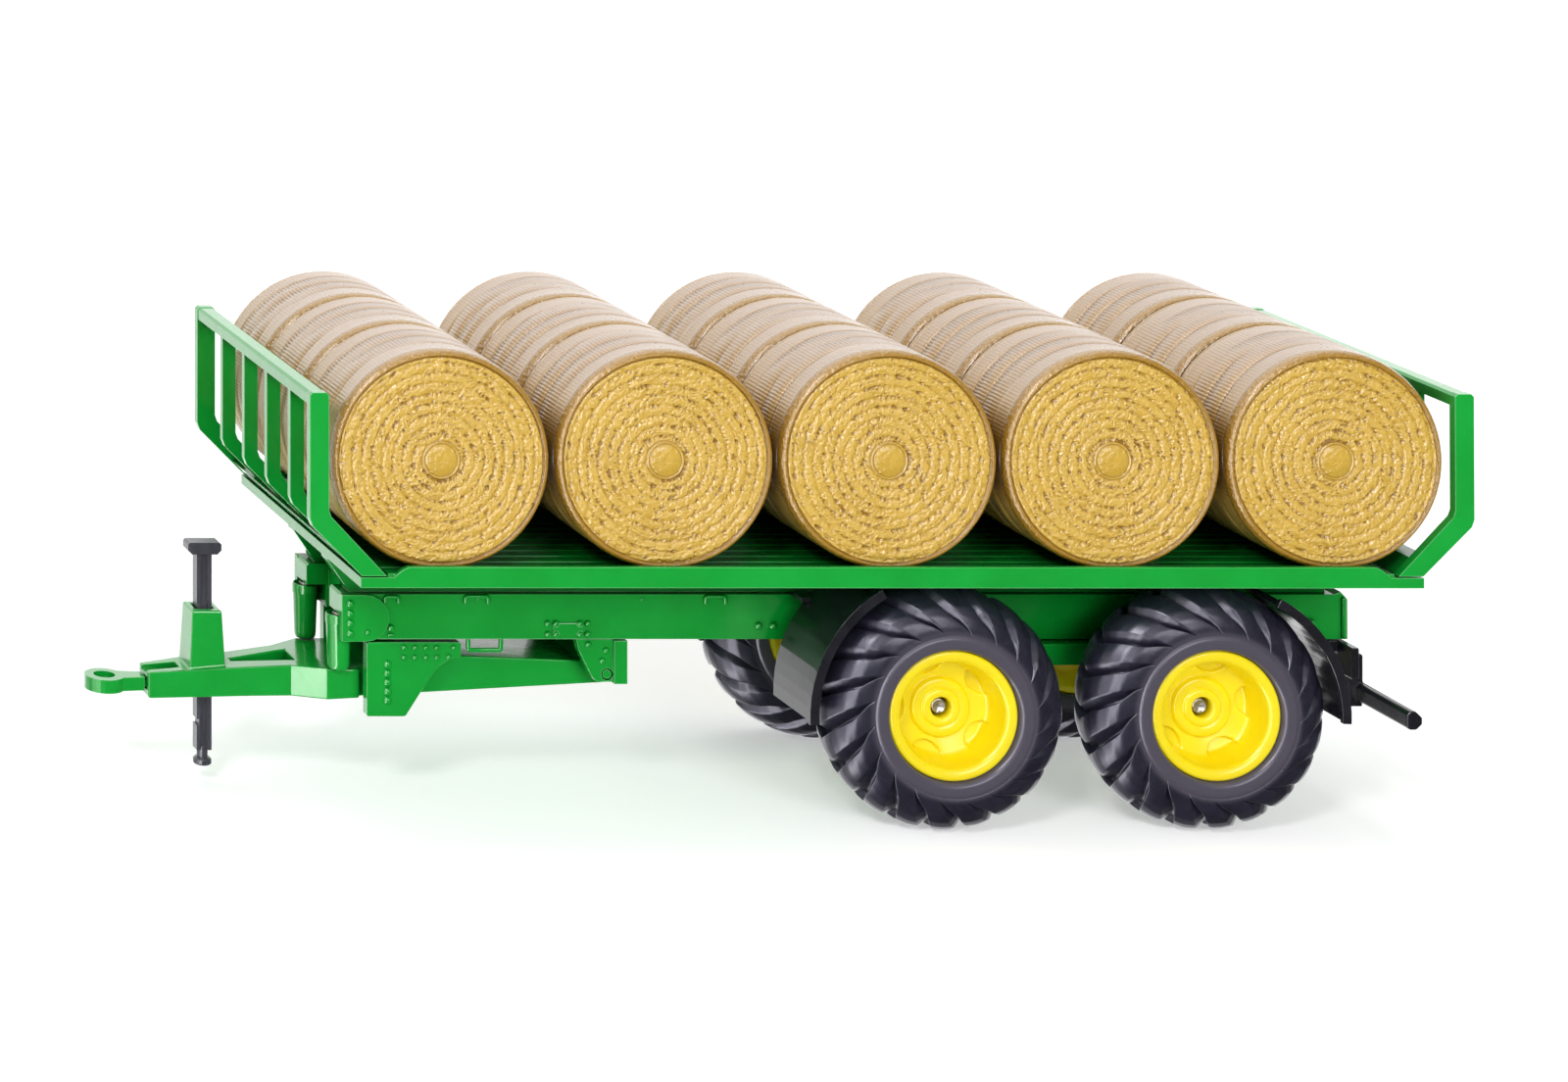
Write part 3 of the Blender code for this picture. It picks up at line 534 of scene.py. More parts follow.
def straw_field(reach, seed):
    """Heights from 0 to 1 on a square grid: short straws that lie round the centre in rolled layers."""
    random = np.random.default_rng(seed)
    size = int(2.0 * reach / STRAW_STEP) + 3
    field = np.zeros((size, size))
    for _ in range(STRAW_COUNT):
        turn = random.uniform(0.0, 2.0 * math.pi)
        radius = reach * math.sqrt(random.uniform(0.03, 1.0))
        layer = round(radius / RING_PITCH - turn / (2.0 * math.pi)) + turn / (2.0 * math.pi)
        radius = layer * RING_PITCH + random.normal(0.0, 0.55)
        heading = turn + math.pi / 2 + random.normal(0.15, 0.62)
        length = random.uniform(0.7, 2.3)
        width = random.uniform(0.15, 0.30)
        height = random.uniform(0.4, 1.0)
        tilt = random.uniform(-0.35, 0.35)
        x, z = radius * math.cos(turn), radius * math.sin(turn)
        margin = 0.5 * length + width
        low_i = max(int((x - margin + reach) / STRAW_STEP), 0)
        high_i = min(int((x + margin + reach) / STRAW_STEP) + 2, size)
        low_j = max(int((z - margin + reach) / STRAW_STEP), 0)
        high_j = min(int((z + margin + reach) / STRAW_STEP) + 2, size)
        if low_i >= high_i or low_j >= high_j:
            continue
        gi, gj = np.meshgrid(np.arange(low_i, high_i), np.arange(low_j, high_j), indexing="ij")
        dx = gi * STRAW_STEP - reach - x
        dz = gj * STRAW_STEP - reach - z
        along = dx * math.cos(heading) + dz * math.sin(heading)
        across = -dx * math.sin(heading) + dz * math.cos(heading)
        beyond = np.maximum(np.abs(along) - 0.5 * length, 0.0)
        inside = np.clip(1.0 - (across**2 + beyond**2) / width**2, 0.0, 1.0)
        ridge = height * np.sqrt(inside) * (1.0 + tilt * along / length)
        window = field[low_i:high_i, low_j:high_j]
        np.maximum(window, ridge, out=window)
    return np.clip(field, 0.0, 1.0)


def read_field(field, reach, x, z):
    """The field's height at points, between its grid values."""
    i = np.clip((x + reach) / STRAW_STEP, 0, field.shape[0] - 1.001)
    j = np.clip((z + reach) / STRAW_STEP, 0, field.shape[1] - 1.001)
    i0, j0 = i.astype(int), j.astype(int)
    fi, fj = i - i0, j - j0
    top = field[i0, j0] * (1 - fj) + field[i0, j0 + 1] * fj
    bottom = field[i0 + 1, j0] * (1 - fj) + field[i0 + 1, j0 + 1] * fj
    return top * (1 - fi) + bottom * fi


def bale_face(field, radius, half, rings, direction):
    """Rows from the centre boss out to the rim of one flat face. direction is -1 or +1 along Y."""
    angle = bale_angles()
    level = np.ones(BALE_COLUMNS)
    edge = radius - SHOULDER_DROP - 0.2
    # (radius, depth, height value that sets its painted shade) of a flat boss with a groove inside its edge
    boss = [
        (1.2, -0.05, 0.5),
        (BALE_BOSS - 0.7, -0.05, 0.5),
        (BALE_BOSS - 0.5, -0.3, 0.2),
        (BALE_BOSS - 0.35, -0.3, 0.2),
        (BALE_BOSS - 0.25, -0.05, 0.5),
        (BALE_BOSS - 0.05, -0.05, 0.5),
        (BALE_BOSS + 0.1, -0.4, 0.1),
    ]
    rows, heights = [], []
    for r, depth, shade in boss:
        rows.append(np.stack([r * np.cos(angle), direction * (half + depth) * level, r * np.sin(angle)], -1))
        heights.append(shade * level)
    for r in np.linspace(BALE_BOSS + 0.35, edge, rings):
        x, z = r * np.cos(angle), r * np.sin(angle)
        fade = min(1.0, (edge - r) / 0.4) * min(1.0, (r - BALE_BOSS) / 0.5)
        straw = read_field(field, radius, x, z)
        seam = np.mod(r / RING_PITCH - angle / (2.0 * math.pi), 1.0) - 0.5
        seam = np.exp(-((seam * RING_PITCH / SEAM_WIDTH) ** 2))
        y = half - 0.78 + fade * (0.66 * straw - 0.22 * seam + 0.12)
        rows.append(np.stack([x, direction * y, z], -1))
        # The height value is lower in the seams and towards the boss and the rim, so the straw there takes painted
        # shade.
        heights.append(np.clip(0.12 + straw * 0.9 - 0.28 * seam, 0.0, 1.0) * (0.45 + 0.55 * fade))
    return rows, heights


def bale_side(radius, half):
    """Rows round the barrel: a rolled edge at each end, and net wrap ribs that lines of twine cut into blocks."""
    angle = bale_angles()
    level = np.ones(BALE_COLUMNS)
    groove = np.where(np.arange(BALE_COLUMNS) % 3 == 1, 1.0, 0.0)
    # (distance along the barrel, depth, depth of the ribs, depth of a broken twine, how much of the side's wrap shows)
    edge = [(-half + 0.14, -SHOULDER_DROP - 0.12, 0.0, 0.0, 0.0)]
    for share in (0.0, 0.18, 0.36, 0.54, 0.72, 0.88, 1.0):
        turn = 0.5 * math.pi * share
        edge.append((-half + SHOULDER * (1.0 - math.cos(turn)), -SHOULDER_DROP * (1.0 - math.sin(turn)), 0.0, 0.0, 0.0))
    edge += [
        (-half + SHOULDER + 0.25, 0.0, 0.0, 0.0, 0.9),
        (-half + SHOULDER + 0.5, 0.0, 0.13, 0.0, 1.0),
        (TWINES[0] - 1.2, 0.0, 0.14, 0.0, 1.0),
    ]
    stations = list(edge)
    for index, middle in enumerate(TWINES):
        rib = 0.22 if index < 2 else 0.12
        stations += [
            (middle - 0.26, 0.0, 0.14 if index == 0 else 0.22, 0.0, 1.0),
            (middle - 0.15, 0.0, 0.05, 0.32, 1.0),
            (middle + 0.15, 0.0, 0.05, 0.32, 1.0),
            (middle + 0.26, 0.0, rib, 0.0, 1.0),
        ]
        if index < 2:
            stations.append((middle + 2.8, 0.0, 0.25, 0.0, 1.0))
    stations += [(-y, depth, ribs, twine, wrap) for y, depth, ribs, twine, wrap in reversed(edge)]
    rows, heights, wraps = [], [], []
    for y, depth, ribs, twine, wrap in stations:
        patch = 0.72 + 0.28 * np.sin(5.0 * angle + 1.9 * y / half) * np.sin(2.0 * angle + y)
        broken = np.clip(0.75 + 0.7 * np.sin(3.0 * angle + 2.0 * y), 0.15, 1.0)
        r = radius + depth - ribs * groove * patch - twine * broken
        rows.append(np.stack([r * np.cos(angle), y * level, r * np.sin(angle)], -1))
        # The height value is low in the rib and twine grooves and almost 0 on the rolled edges, so these take painted
        # shade.
        heights.append(np.clip((0.60 if wrap else 0.03) - 2.6 * ribs * groove * patch - 2.2 * twine * broken, 0.0, 1.0))
        wraps.append(wrap * level)
    return rows, heights, wraps


def bale_mesh(name, field, radius, half, fine_rings, plain_rings, turn, facing):
    """One bale, turned about its own axis. facing is -1 for a fine face towards -Y and +1 towards +Y."""
    near_rows, near_heights = bale_face(field, radius, half, fine_rings, -1.0)
    far_rows, far_heights = bale_face(field, radius, half, plain_rings, 1.0)
    side_rows, side_heights, side_wraps = bale_side(radius, half)
    bare = [np.zeros(BALE_COLUMNS)]
    rows = near_rows + side_rows + far_rows[::-1]
    straw = np.concatenate(near_heights + side_heights + far_heights[::-1] + [[0.5, 0.5]])
    wrap = np.concatenate(bare * len(near_rows) + side_wraps + bare * len(far_rows) + [[0.0, 0.0]])
    centres = [[0.0, near_rows[0][0, 1], 0.0], [0.0, far_rows[0][0, 1], 0.0]]
    points = np.vstack([*rows, centres])
    last = (len(rows) - 1) * BALE_COLUMNS
    centre_near, centre_far = len(points) - 2, len(points) - 1
    faces = [tuple(quad) for quad in grid_faces(len(rows), BALE_COLUMNS)[:, ::-1]]
    for column in range(BALE_COLUMNS):
        after = (column + 1) % BALE_COLUMNS
        faces.append((centre_near, column, after))
        faces.append((centre_far, last + after, last + column))
    mesh = mesh_from(name, turned(points, turn, facing), faces)
    for label, values in (("straw", straw), ("wrap", wrap)):
        attribute = mesh.attributes.new(label, "FLOAT", "POINT")
        attribute.data.foreach_set("value", values.astype(np.float32))
    return mesh


def build_bales():
    size = half_size("bale_1_left")
    field = straw_field(size.z, STRAW_SEED)
    for column in range(1, 6):
        for index, row in enumerate(("left", "middle", "right")):
            node = f"bale_{column}_{row}"
            turn = 0.9 * column + 2.1 * index
            rings = MIDDLE_RINGS if row == "middle" else SHOWN_RINGS
            facing = 1.0 if row == "right" else -1.0
            mesh = bale_mesh(f"{node}_mesh", field, size.z, size.y, rings, COVERED_RINGS, turn, facing)
            piece = place(f"{node}_straw", mesh, STRAW, f"{node}_load", middle_of(node))
            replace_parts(piece, node)


# ---------------------------------------------------------------------------------------------------------------
# Wheels
# ---------------------------------------------------------------------------------------------------------------

LUGS = 20
GROOVE_DEPTH = 2.1
# Across one lug pitch: where each column lies in the groove (as a share of its width) and how deep it is there.
GROOVE_COLUMNS = (
    (0.0, 0.0),
    (0.10, 0.10),
    (0.30, 0.42),
    (0.52, 0.80),
    (0.68, 1.0),
    (0.86, 1.0),
    (0.95, 0.55),
    (1.0, 0.0),
)
LUG_COLUMNS = (0.05, 0.16, 0.32, 0.50, 0.68, 0.84, 0.95)


def tyre_section(half, bead, crown):
    """(along, radius, share) of the tyre's outer skin, from the bead to the middle of the tread."""
    wall = [
        (half - 1.2, bead, 0.0),
        (half - 0.55, bead + 0.1, 0.0),
        (half - 0.15, bead + 0.45, 0.0),
        (half, bead + 1.1, 0.0),
        (half, bead + 2.2, 0.0),
        (half - 0.08, bead + 2.95, 0.0),
        (half - 0.32, bead + 3.1, 0.0),
        (half - 0.34, bead + 3.25, 0.0),
        (half - 0.22, bead + 3.4, 0.0),
    ]
    shoulder = np.array(
        [
            (half - 0.22, bead + 3.4),
            (half - 0.55, 19.1),
            (half - 1.25, 21.1),
            (half - 2.35, 22.9),
            (half - 3.8, 24.3),
            (half - 5.4, 25.3),
            (half - 6.9, crown - 0.12),
            (0.0, crown),
        ]
    )
    steps = np.concatenate([[0.0], np.cumsum(np.linalg.norm(np.diff(shoulder, axis=0), axis=1))])
    stations = steps[-1] * np.linspace(0.0, 1.0, 27)[1:]
    for station in stations:
        along = float(np.interp(station, steps, shoulder[:, 0]))
        radius = float(np.interp(station, steps, shoulder[:, 1]))
        wall.append((along, radius, station / steps[-1]))
    return wall


def tyre_row(along, radius, share, mirror, middle_ring):
    """One row of the tread. Its columns follow the lugs, so every groove edge is a line of the mesh."""
    pitch = 2.0 * math.pi / LUGS
    open_share = float(smoothstep(0.0, 0.36, share))
    width = 0.03 + 0.37 * open_share
    depth = GROOVE_DEPTH * float(smoothstep(0.0, 0.24, share)) * (0.85 if middle_ring else 1.0)
    sweep = pitch * 1.18 * share**0.85
    turns, sinks = [], []
    for lug in range(LUGS):
        for place_share, sink in GROOVE_COLUMNS:
            turns.append(pitch * (lug + place_share * width))
            sinks.append(sink * depth)
        for place_share in LUG_COLUMNS:
            turns.append(pitch * (lug + width + place_share * (1.0 - width)))
            sinks.append(-0.16 * open_share * (1.0 - (2.0 * place_share - 1.0) ** 2))
    turns = np.array(turns) + sweep
    sinks = np.array(sinks)
    slope = np.clip(1.0 - share * 1.25, 0.0, 1.0)
    r = radius - sinks * (1.0 - 0.55 * slope)
    y = mirror * (along - sinks * 0.75 * slope)
    return np.stack([r * np.cos(turns), y, r * np.sin(turns)], -1)


def tyre_mesh(name, half, bead, crown, turn, facing):
    """A balloon tyre whose tread is cut into curved lugs by grooves that start as a point at the sidewall."""
    section = tyre_section(half, bead, crown)
    rows = [tyre_row(*station, 1.0, station[2] == 1.0) for station in section]
    rows += [tyre_row(*station, -1.0, False) for station in reversed(section[:-1])]
    bore = [(-half + 1.4, bead - 0.1), (half - 1.4, bead - 0.1)]
    rows += [tyre_row(along, radius, 0.0, 1.0, False) for along, radius in bore]
    points = np.concatenate(rows)
    columns = len(rows[0])
    quads = grid_faces(len(rows), columns, True)[:, ::-1]
    mesh = mesh_from(name, turned(points * np.array([1.0, -1.0, 1.0]), turn, facing), quads)
    radii = np.hypot(points[:, 0], points[:, 2])
    # wall is 1 on the smooth sidewall ring, which the rubber paints paler as painted light.
    wall = 1.0 - smoothstep(bead + 3.0, bead + 4.6, radii)
    mesh.attributes.new("wall", "FLOAT", "POINT").data.foreach_set("value", wall.astype(np.float32))
    return mesh


POCKETS = 5
POCKET_RADIUS = 3.7
POCKET_DISTANCE = 11.4
POCKET_DEPTH = 1.1
RIM_COLUMNS = 240
RIM_BORE = 2.2
AXLE_END = 1.5
AXLE_COLUMNS = 60
# How far the front and rear wheels are turned at rest, in radians.
WHEEL_TURNS = (0.62, 0.14)
TYRE_TURN = 0.1


def rim_mesh(name, outer, back, lip, bore, turn, facing):
    """A deep dish with a stepped hub and five round pockets. Distances along Y are from the wheel's middle."""
    dish = [
        (outer - 1.1, lip - 0.02),
        (outer - 0.45, lip - 0.08),
        (outer - 0.14, lip - 0.30),
        (outer, lip - 0.70),
        (outer, lip - 1.15),
        (outer - 0.10, lip - 1.65),
        (outer - 0.32, lip - 2.15),
        (outer - 0.62, lip - 2.45),
        (outer - 1.3, lip - 2.65),
        (outer - 2.6, lip - 2.85),
        (outer - 3.9, lip - 3.10),
        (outer - 4.9, lip - 3.40),
        (outer - 5.6, lip - 3.80),
    ]
    for share in np.linspace(0.0, 1.0, 21):
        dish.append((outer - 5.9 - 0.9 * share, (lip - 4.15) * (1.0 - share) + 6.75 * share))
    hub = [
        (outer - 6.8, 6.55),
        (outer - 6.55, 6.35),
        (outer - 6.05, 6.15),
        (outer - 5.85, 5.9),
        (outer - 5.85, 4.35),
        (outer - 6.0, 4.2),
        (outer - 6.0, 4.1),
        (outer - 5.7, 3.95),
        (outer - 5.5, 3.75),
        (outer - 5.45, 3.3),
        (outer - 5.5, bore + 0.35),
        (outer - 5.8, bore + 0.05),
        (outer - 6.4, bore),
    ]
    rear = [
        (back, bore),
        (back, bore + 2.5),
        (back + 3.0, bore + 3.2),
        (back + 4.0, lip - 3.4),
        (back + 0.3, lip - 1.6),
        (back, lip - 1.1),
        (back, lip - 0.2),
        (back + 0.2, lip),
    ]
    angle = circle(RIM_COLUMNS)
    rows = []
    for y, r in dish + hub + rear:
        sink = np.zeros(RIM_COLUMNS)
        if outer - 7.0 < y < outer - 5.0 and r > 6.7:
            for pocket in range(POCKETS):
                centre = 2.0 * math.pi * pocket / POCKETS
                dx = r * np.cos(angle) - POCKET_DISTANCE * math.cos(centre)
                dz = r * np.sin(angle) - POCKET_DISTANCE * math.sin(centre)
                away = np.sqrt(dx * dx + dz * dz)
                open_share = 1.0 - smoothstep(POCKET_RADIUS - 0.1, POCKET_RADIUS + 0.25, away)
                sink = np.maximum(sink, POCKET_DEPTH * open_share)
        rows.append(np.stack([r * np.cos(angle), -(y - sink), r * np.sin(angle)], -1))
    quads = grid_faces(len(rows), RIM_COLUMNS, True)
    return mesh_from(name, turned(np.concatenate(rows), turn, facing), quads)


def axle_mesh(name, radius, half):
    """A steel rod with rough-cut ends: a small burr round a dished face."""
    profile = [(-half + 0.35, 0.3), (-half + 0.2, 0.75), (-half + 0.05, radius - 0.45), (-half, radius - 0.3)]
    profile += [(-half + 0.15, radius - 0.08), (-half + 0.4, radius), (half - 0.4, radius)]
    profile += [(-y, r) for y, r in reversed(profile[:5])]
    angle = circle(AXLE_COLUMNS)
    rows = []
    for y, r in profile:
        ragged = 0.07 * np.sin(3.0 * angle + 9.0 * r) + 0.05 * np.sin(7.0 * angle - 5.0 * r)
        rows.append(np.stack([r * np.cos(angle), y + np.sign(-y) * np.abs(ragged), r * np.sin(angle)], -1))
    return tube_mesh(name, rows, flip=True)


def build_wheels():
    size = half_size("tyre_front_left")
    lip = half_size("rim_front_left").x
    tyre_middle = middle_of("tyre_front_left").y
    outer = tyre_middle - corner_of("rim_front_left").y
    back = tyre_middle - corner_of("rim_front_left", True).y
    for axle_name, spin in zip(AXLES, WHEEL_TURNS):
        for side_name, side in SIDES:
            wheel = f"{axle_name}_{side_name}"
            body = f"wheel_{wheel}"
            centre = middle_of(f"tyre_{wheel}")
            tyre = tyre_mesh(f"{body}_tyre_mesh", size.y, lip + 0.12, size.z - 0.02, spin + TYRE_TURN, side)
            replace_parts(place(f"{body}_tyre", tyre, RUBBER, body, centre), f"tyre_{wheel}")
            rim = rim_mesh(f"{body}_rim_mesh", outer, back, lip, RIM_BORE, spin, side)
            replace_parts(place(f"{body}_rim", rim, YELLOW, body, centre), f"rim_{wheel}")
        node = f"axle_{axle_name}"
        axle = axle_mesh(f"{node}_mesh", half_size(node).x, corner_of(node, True).y + AXLE_END)
        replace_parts(place(f"{node}_rod", axle, STEEL, "chassis", middle_of(node)), node)


# ---------------------------------------------------------------------------------------------------------------
# Small fittings cast on the frame
# ---------------------------------------------------------------------------------------------------------------

# The doubler's thickness, and how deep each fitting is sunk in its plate.
DOUBLER = 0.7
SUNK = 0.25
BOLT_COLUMNS = 18
# Bolt heads on the beam: (places along, heights, depth of the face, head radius, head height). The places are
# measured from the lower front corner of the doubler's flat.
BEAM_BOLTS = (
    ((1.8,), (1.4, 3.6, 5.7, 7.8), 0.0, 0.85, 0.75),
    ((5.6,), (1.6,), 0.0, 0.6, 0.6),
    ((10.9,), (2.4,), DOUBLER, 0.8, 0.85),
    ((45.2, 47.0, 52.3, 54.0), (3.4, 1.1), DOUBLER, 0.7, 0.8),
    ((91.4, 94.6), (2.9,), DOUBLER, 0.8, 0.8),
    ((30.0, 66.0, 101.0), (8.6,), DOUBLER, 0.35, 0.25),
)
# Clips under the beam's top edge: (start, end, height, drop).
CLIPS = ((9.6, 12.6, 9.2, 1.5), (27.2, 32.2, 9.3, 1.7), (79.8, 84.2, 9.3, 1.7))
BRACKET_BOLTS = ((2.6, 8.4), (6.5, 7.1), (5.7, 4.9))


class Casting:
    """Collects small shapes on a face that looks towards -Y. z is up, x runs along the frame."""

    def __init__(self):
        self.points, self.faces = [], []

    def rings(self, rows, close_first=False):
        """Rows of equal length, each a closed ring. The last ring is closed with a face."""
        start, count = len(self.points), len(rows[0])
        for row in rows:
            self.points.extend(row)
        for row in range(len(rows) - 1):
            for k in range(count):
                a, b = start + row * count + k, start + row * count + (k + 1) % count
                self.faces.append((a, b, b + count, a + count))
        last = start + (len(rows) - 1) * count
        self.faces.append(tuple(range(last, last + count)))
        if close_first:
            self.faces.append(tuple(range(start + count - 1, start - 1, -1)))

    def bolt(self, x, z, face, radius=0.85, height=0.75):
        """A round head with a flat rim and a domed top."""
        profile = [(-SUNK, 1.0), (0.30, 1.0), (0.42, 0.94), (0.72, 0.78), (0.92, 0.52), (1.0, 0.2)]
        rows = []
        for lift, share in profile:
            y = face - (lift * height if lift > 0 else lift)
            reach = radius * share
            rows.append([(x + reach * math.cos(t), y, z + reach * math.sin(t)) for t in circle(BOLT_COLUMNS)])
        self.rings(rows, close_first=True)

    def plate(self, outline, face, height, chamfer=0.22):
        """A low pad. outline runs anticlockwise when seen from -Y."""
        middle_x = sum(x for x, _ in outline) / len(outline)
        middle_z = sum(z for _, z in outline) / len(outline)
        steps = ((-SUNK, 0.0), (height - chamfer, 0.0), (height - 0.3 * chamfer, 0.3 * chamfer), (height, chamfer))
        rows = []
        for lift, inset in steps:
            ring = []
            for x, z in outline:
                away = math.hypot(x - middle_x, z - middle_z)
                share = 1.0 - inset / away
                ring.append((middle_x + (x - middle_x) * share, face - lift, middle_z + (z - middle_z) * share))
            rows.append(ring)
        self.rings(rows, close_first=True)

    def bar(self, path, radius=0.42, columns=12):
        """A round bar through points (x, y, z), mitred at its bends and rounded at its ends."""
        path = [Vector(point) for point in path]
        first = (path[1] - path[0]).normalized()
        last = (path[-1] - path[-2]).normalized()
        stations = [(path[0], first, 0.55), (path[0] + first * 0.35 * radius, first, 0.9)]
        stations.append((path[0] + first * 0.8 * radius, first, 1.0))
        for before, here, after in zip(path, path[1:], path[2:]):
            into, out = (here - before).normalized(), (after - here).normalized()
            for share in (0.12, 0.5, 0.88):
                heading = (into * (1.0 - share) + out * share).normalized()
                offset = -into * (0.9 * radius * (1.0 - share)) + out * (0.9 * radius * share)
                stations.append((here + offset, heading, 1.0))
        stations.append((path[-1] - last * 0.8 * radius, last, 1.0))
        stations += [(path[-1] - last * 0.35 * radius, last, 0.9), (path[-1], last, 0.55)]
        rows = []
        side = first.cross(Vector((0.0, 1.0, 0.0)))
        side = side.normalized() if side.length > 0.1 else Vector((1.0, 0.0, 0.0))
        for centre, heading, share in stations:
            side = (side - heading * side.dot(heading)).normalized()
            other = heading.cross(side)
            ring = []
            for k in range(columns):
                turn = 2.0 * math.pi * k / columns
                ring.append(tuple(centre + (side * math.cos(turn) + other * math.sin(turn)) * radius * share))
            rows.append(ring)
        self.rings(rows, close_first=True)

    def mesh(self, name, side):
        """The shapes as one mesh with outward faces, mirrored to +Y when side is 1."""
        mesh = bpy.data.meshes.new(name)
        mirror = MM * np.array([1.0, -side, 1.0])
        mesh.from_pydata([tuple(point) for point in np.array(self.points) * mirror], [], self.faces)
        work = bmesh.new()
        work.from_mesh(mesh)
        bmesh.ops.recalc_face_normals(work, faces=work.faces)
        work.to_mesh(mesh)
        work.free()
        mesh.shade_smooth()
        mesh.set_sharp_from_angle(angle=math.radians(40.0))
        return mesh


def rounded_box(x0, x1, z0, z1, radius, steps=5):
    """An outline with round corners, anticlockwise when seen from -Y."""
    left, right, low, high = x0 + radius, x1 - radius, z0 + radius, z1 - radius
    outline = []
    for x, z, start in ((right, low, -90), (right, high, 0), (left, high, 90), (left, low, 180)):
        for step in range(steps + 1):
            turn = math.radians(start + 90.0 * step / steps)
            outline.append((x + radius * math.cos(turn), z + radius * math.sin(turn)))
    return outline


# The gap round a cylinder's rod, and the height of the bore's floor.
CYLINDER_CLEARANCE = 0.6
CYLINDER_FLOOR = 1.4
CUP_COLUMNS = 72


def cup_mesh(name, radius, height, bore):
    """A cylinder barrel cast as a tapered cup: narrow at its foot, a rolled collar, a dished top and a bore."""
    profile = [(0.0, 0.74), (0.03, 0.80), (0.07, 0.835), (0.12, 0.85), (0.80, 0.955), (0.82, 0.985), (0.84, 1.0)]
    profile += [(0.955, 1.0), (0.98, 0.985), (1.0, 0.94), (1.0, 0.86), (0.985, 0.82), (0.96, 0.80)]
    rings = [(height * lift, radius * share) for lift, share in profile]
    rings += [(0.955 * height, bore + 0.1), (0.945 * height, bore), (CYLINDER_FLOOR, bore)]
    angle = circle(CUP_COLUMNS)
    level = np.ones(CUP_COLUMNS)
    rows = [np.stack([r * np.cos(angle), r * np.sin(angle), (z - 0.5 * height) * level], -1) for z, r in rings]
    return tube_mesh(name, rows)


def build_cups():
    for side_name, _ in SIDES:
        node = f"cylinder_barrel_{side_name}"
        size = half_size(node)
        bore = half_size(f"cylinder_rod_{side_name}").x + CYLINDER_CLEARANCE
        mesh = cup_mesh(f"{node}_cup", size.x, 2.0 * size.z, bore)
        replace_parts(place(f"{node}_cup", mesh, GREEN, "drawbar", middle_of(node)), node)


def beam_fittings(casting):
    """Bolts, clips, the small plate and its handle, the rear knob and the end bead of one beam."""
    low, high = corner_of("chassis_frame"), corner_of("chassis_frame", True)
    beam = low.y + DOUBLER
    start, bottom = low.x + 2.3, low.z + 0.4
    for places, heights, depth, radius, height in BEAM_BOLTS:
        for along in places:
            for lift in heights:
                casting.bolt(start + along, bottom + lift, low.y + depth, radius, height)
    casting.bar([(start + 10.2, beam - 0.15, bottom + 0.9), (start + 11.6, beam - 0.15, bottom + 0.9)], 0.4)
    for first, last, top, drop in CLIPS:
        feet = ((first, top - drop), (first, top), (last, top), (last, top - drop))
        casting.bar([(start + x, beam - 0.2, bottom + z) for x, z in feet], 0.45)
    casting.plate(rounded_box(start + 46.2, start + 53.0, bottom + 0.8, bottom + 3.6, 0.5), beam, 0.3)
    knob = high.x - 8.4
    bends = ((-1.1, -0.5, 2.9), (0.4, -0.7, 4.4), (1.0, -0.6, 2.4))
    casting.bar([(knob + x, beam + y, bottom + z) for x, y, z in bends], 0.75)
    casting.bar([(high.x - 1.0, beam - 0.1, bottom + 0.3), (high.x - 1.0, beam - 0.1, bottom + 9.2)], 0.55)
    return beam, bottom


def plate_fittings(casting, beam, bottom):
    """Bolts of one side plate and its bracket, and the handle that hangs behind the plate."""
    low, high = corner_of("side_plate_left"), corner_of("side_plate_left", True)
    for step in range(5):
        casting.bolt(low.x + 4.5, low.z + 3.5 + 1.95 * step, low.y)
    for column in range(4):
        for row in range(2):
            casting.bolt(low.x + 8.1 + 2.4 * column, high.z - 1.1 - 2.1 * row, low.y, 0.6, 0.6)
    for back, drop in ((2.8, 3.1), (1.7, 1.1)):
        casting.bolt(high.x - back, high.z - drop, low.y, 0.6, 0.6)
    handle = ((1.7, 0.5), (1.7, -2.6), (8.9, -2.6), (8.9, 0.5))
    casting.bar([(high.x + x, beam + 0.5, bottom + z) for x, z in handle], 0.5)
    bracket = corner_of("drawbar_bracket")
    for x, z in BRACKET_BOLTS:
        casting.bolt(bracket.x + x, bracket.z + z, bracket.y + 0.6, 0.7, 0.7)


def build_fittings():
    for side_name, side in SIDES:
        on_beam, on_plate = Casting(), Casting()
        plate_fittings(on_plate, *beam_fittings(on_beam))
        for kind, casting in (("frame", on_beam), ("plate", on_plate)):
            name = f"{kind}_fittings_{side_name}"
            place(name, casting.mesh(name, side), GREEN, "chassis")


# ---------------------------------------------------------------------------------------------------------------
# Studio and camera
# ---------------------------------------------------------------------------------------------------------------


FLOOR_REACH = 12.0
FLOOR_BOUNCE = 0.14
ROOM_GLOW = 0.09
MATT_LIGHT = 0.42


def gloss_room(n, x, y, z):
    """Brightness of the room in a mirror, from a ray's direction: bright behind, at the far left and overhead."""
    west = n.maths("MULTIPLY", x, -1.0)
    behind = n.rise(y, 0.15, 0.75, 1.75)
    left = n.maths("SUBTRACT", n.rise(west, 0.44, 0.50, 12.0), n.rise(west, 0.60, 0.70, 9.5))
    left = n.maths("MULTIPLY", left, n.rise(n.maths("MULTIPLY", y, -1.0), -0.25, 0.05, 1.0))
    overhead = n.rise(z, 0.50, 0.72, 1.0)
    return n.maths("ADD", n.maths("ADD", behind, left), n.maths("ADD", overhead, ROOM_GLOW))


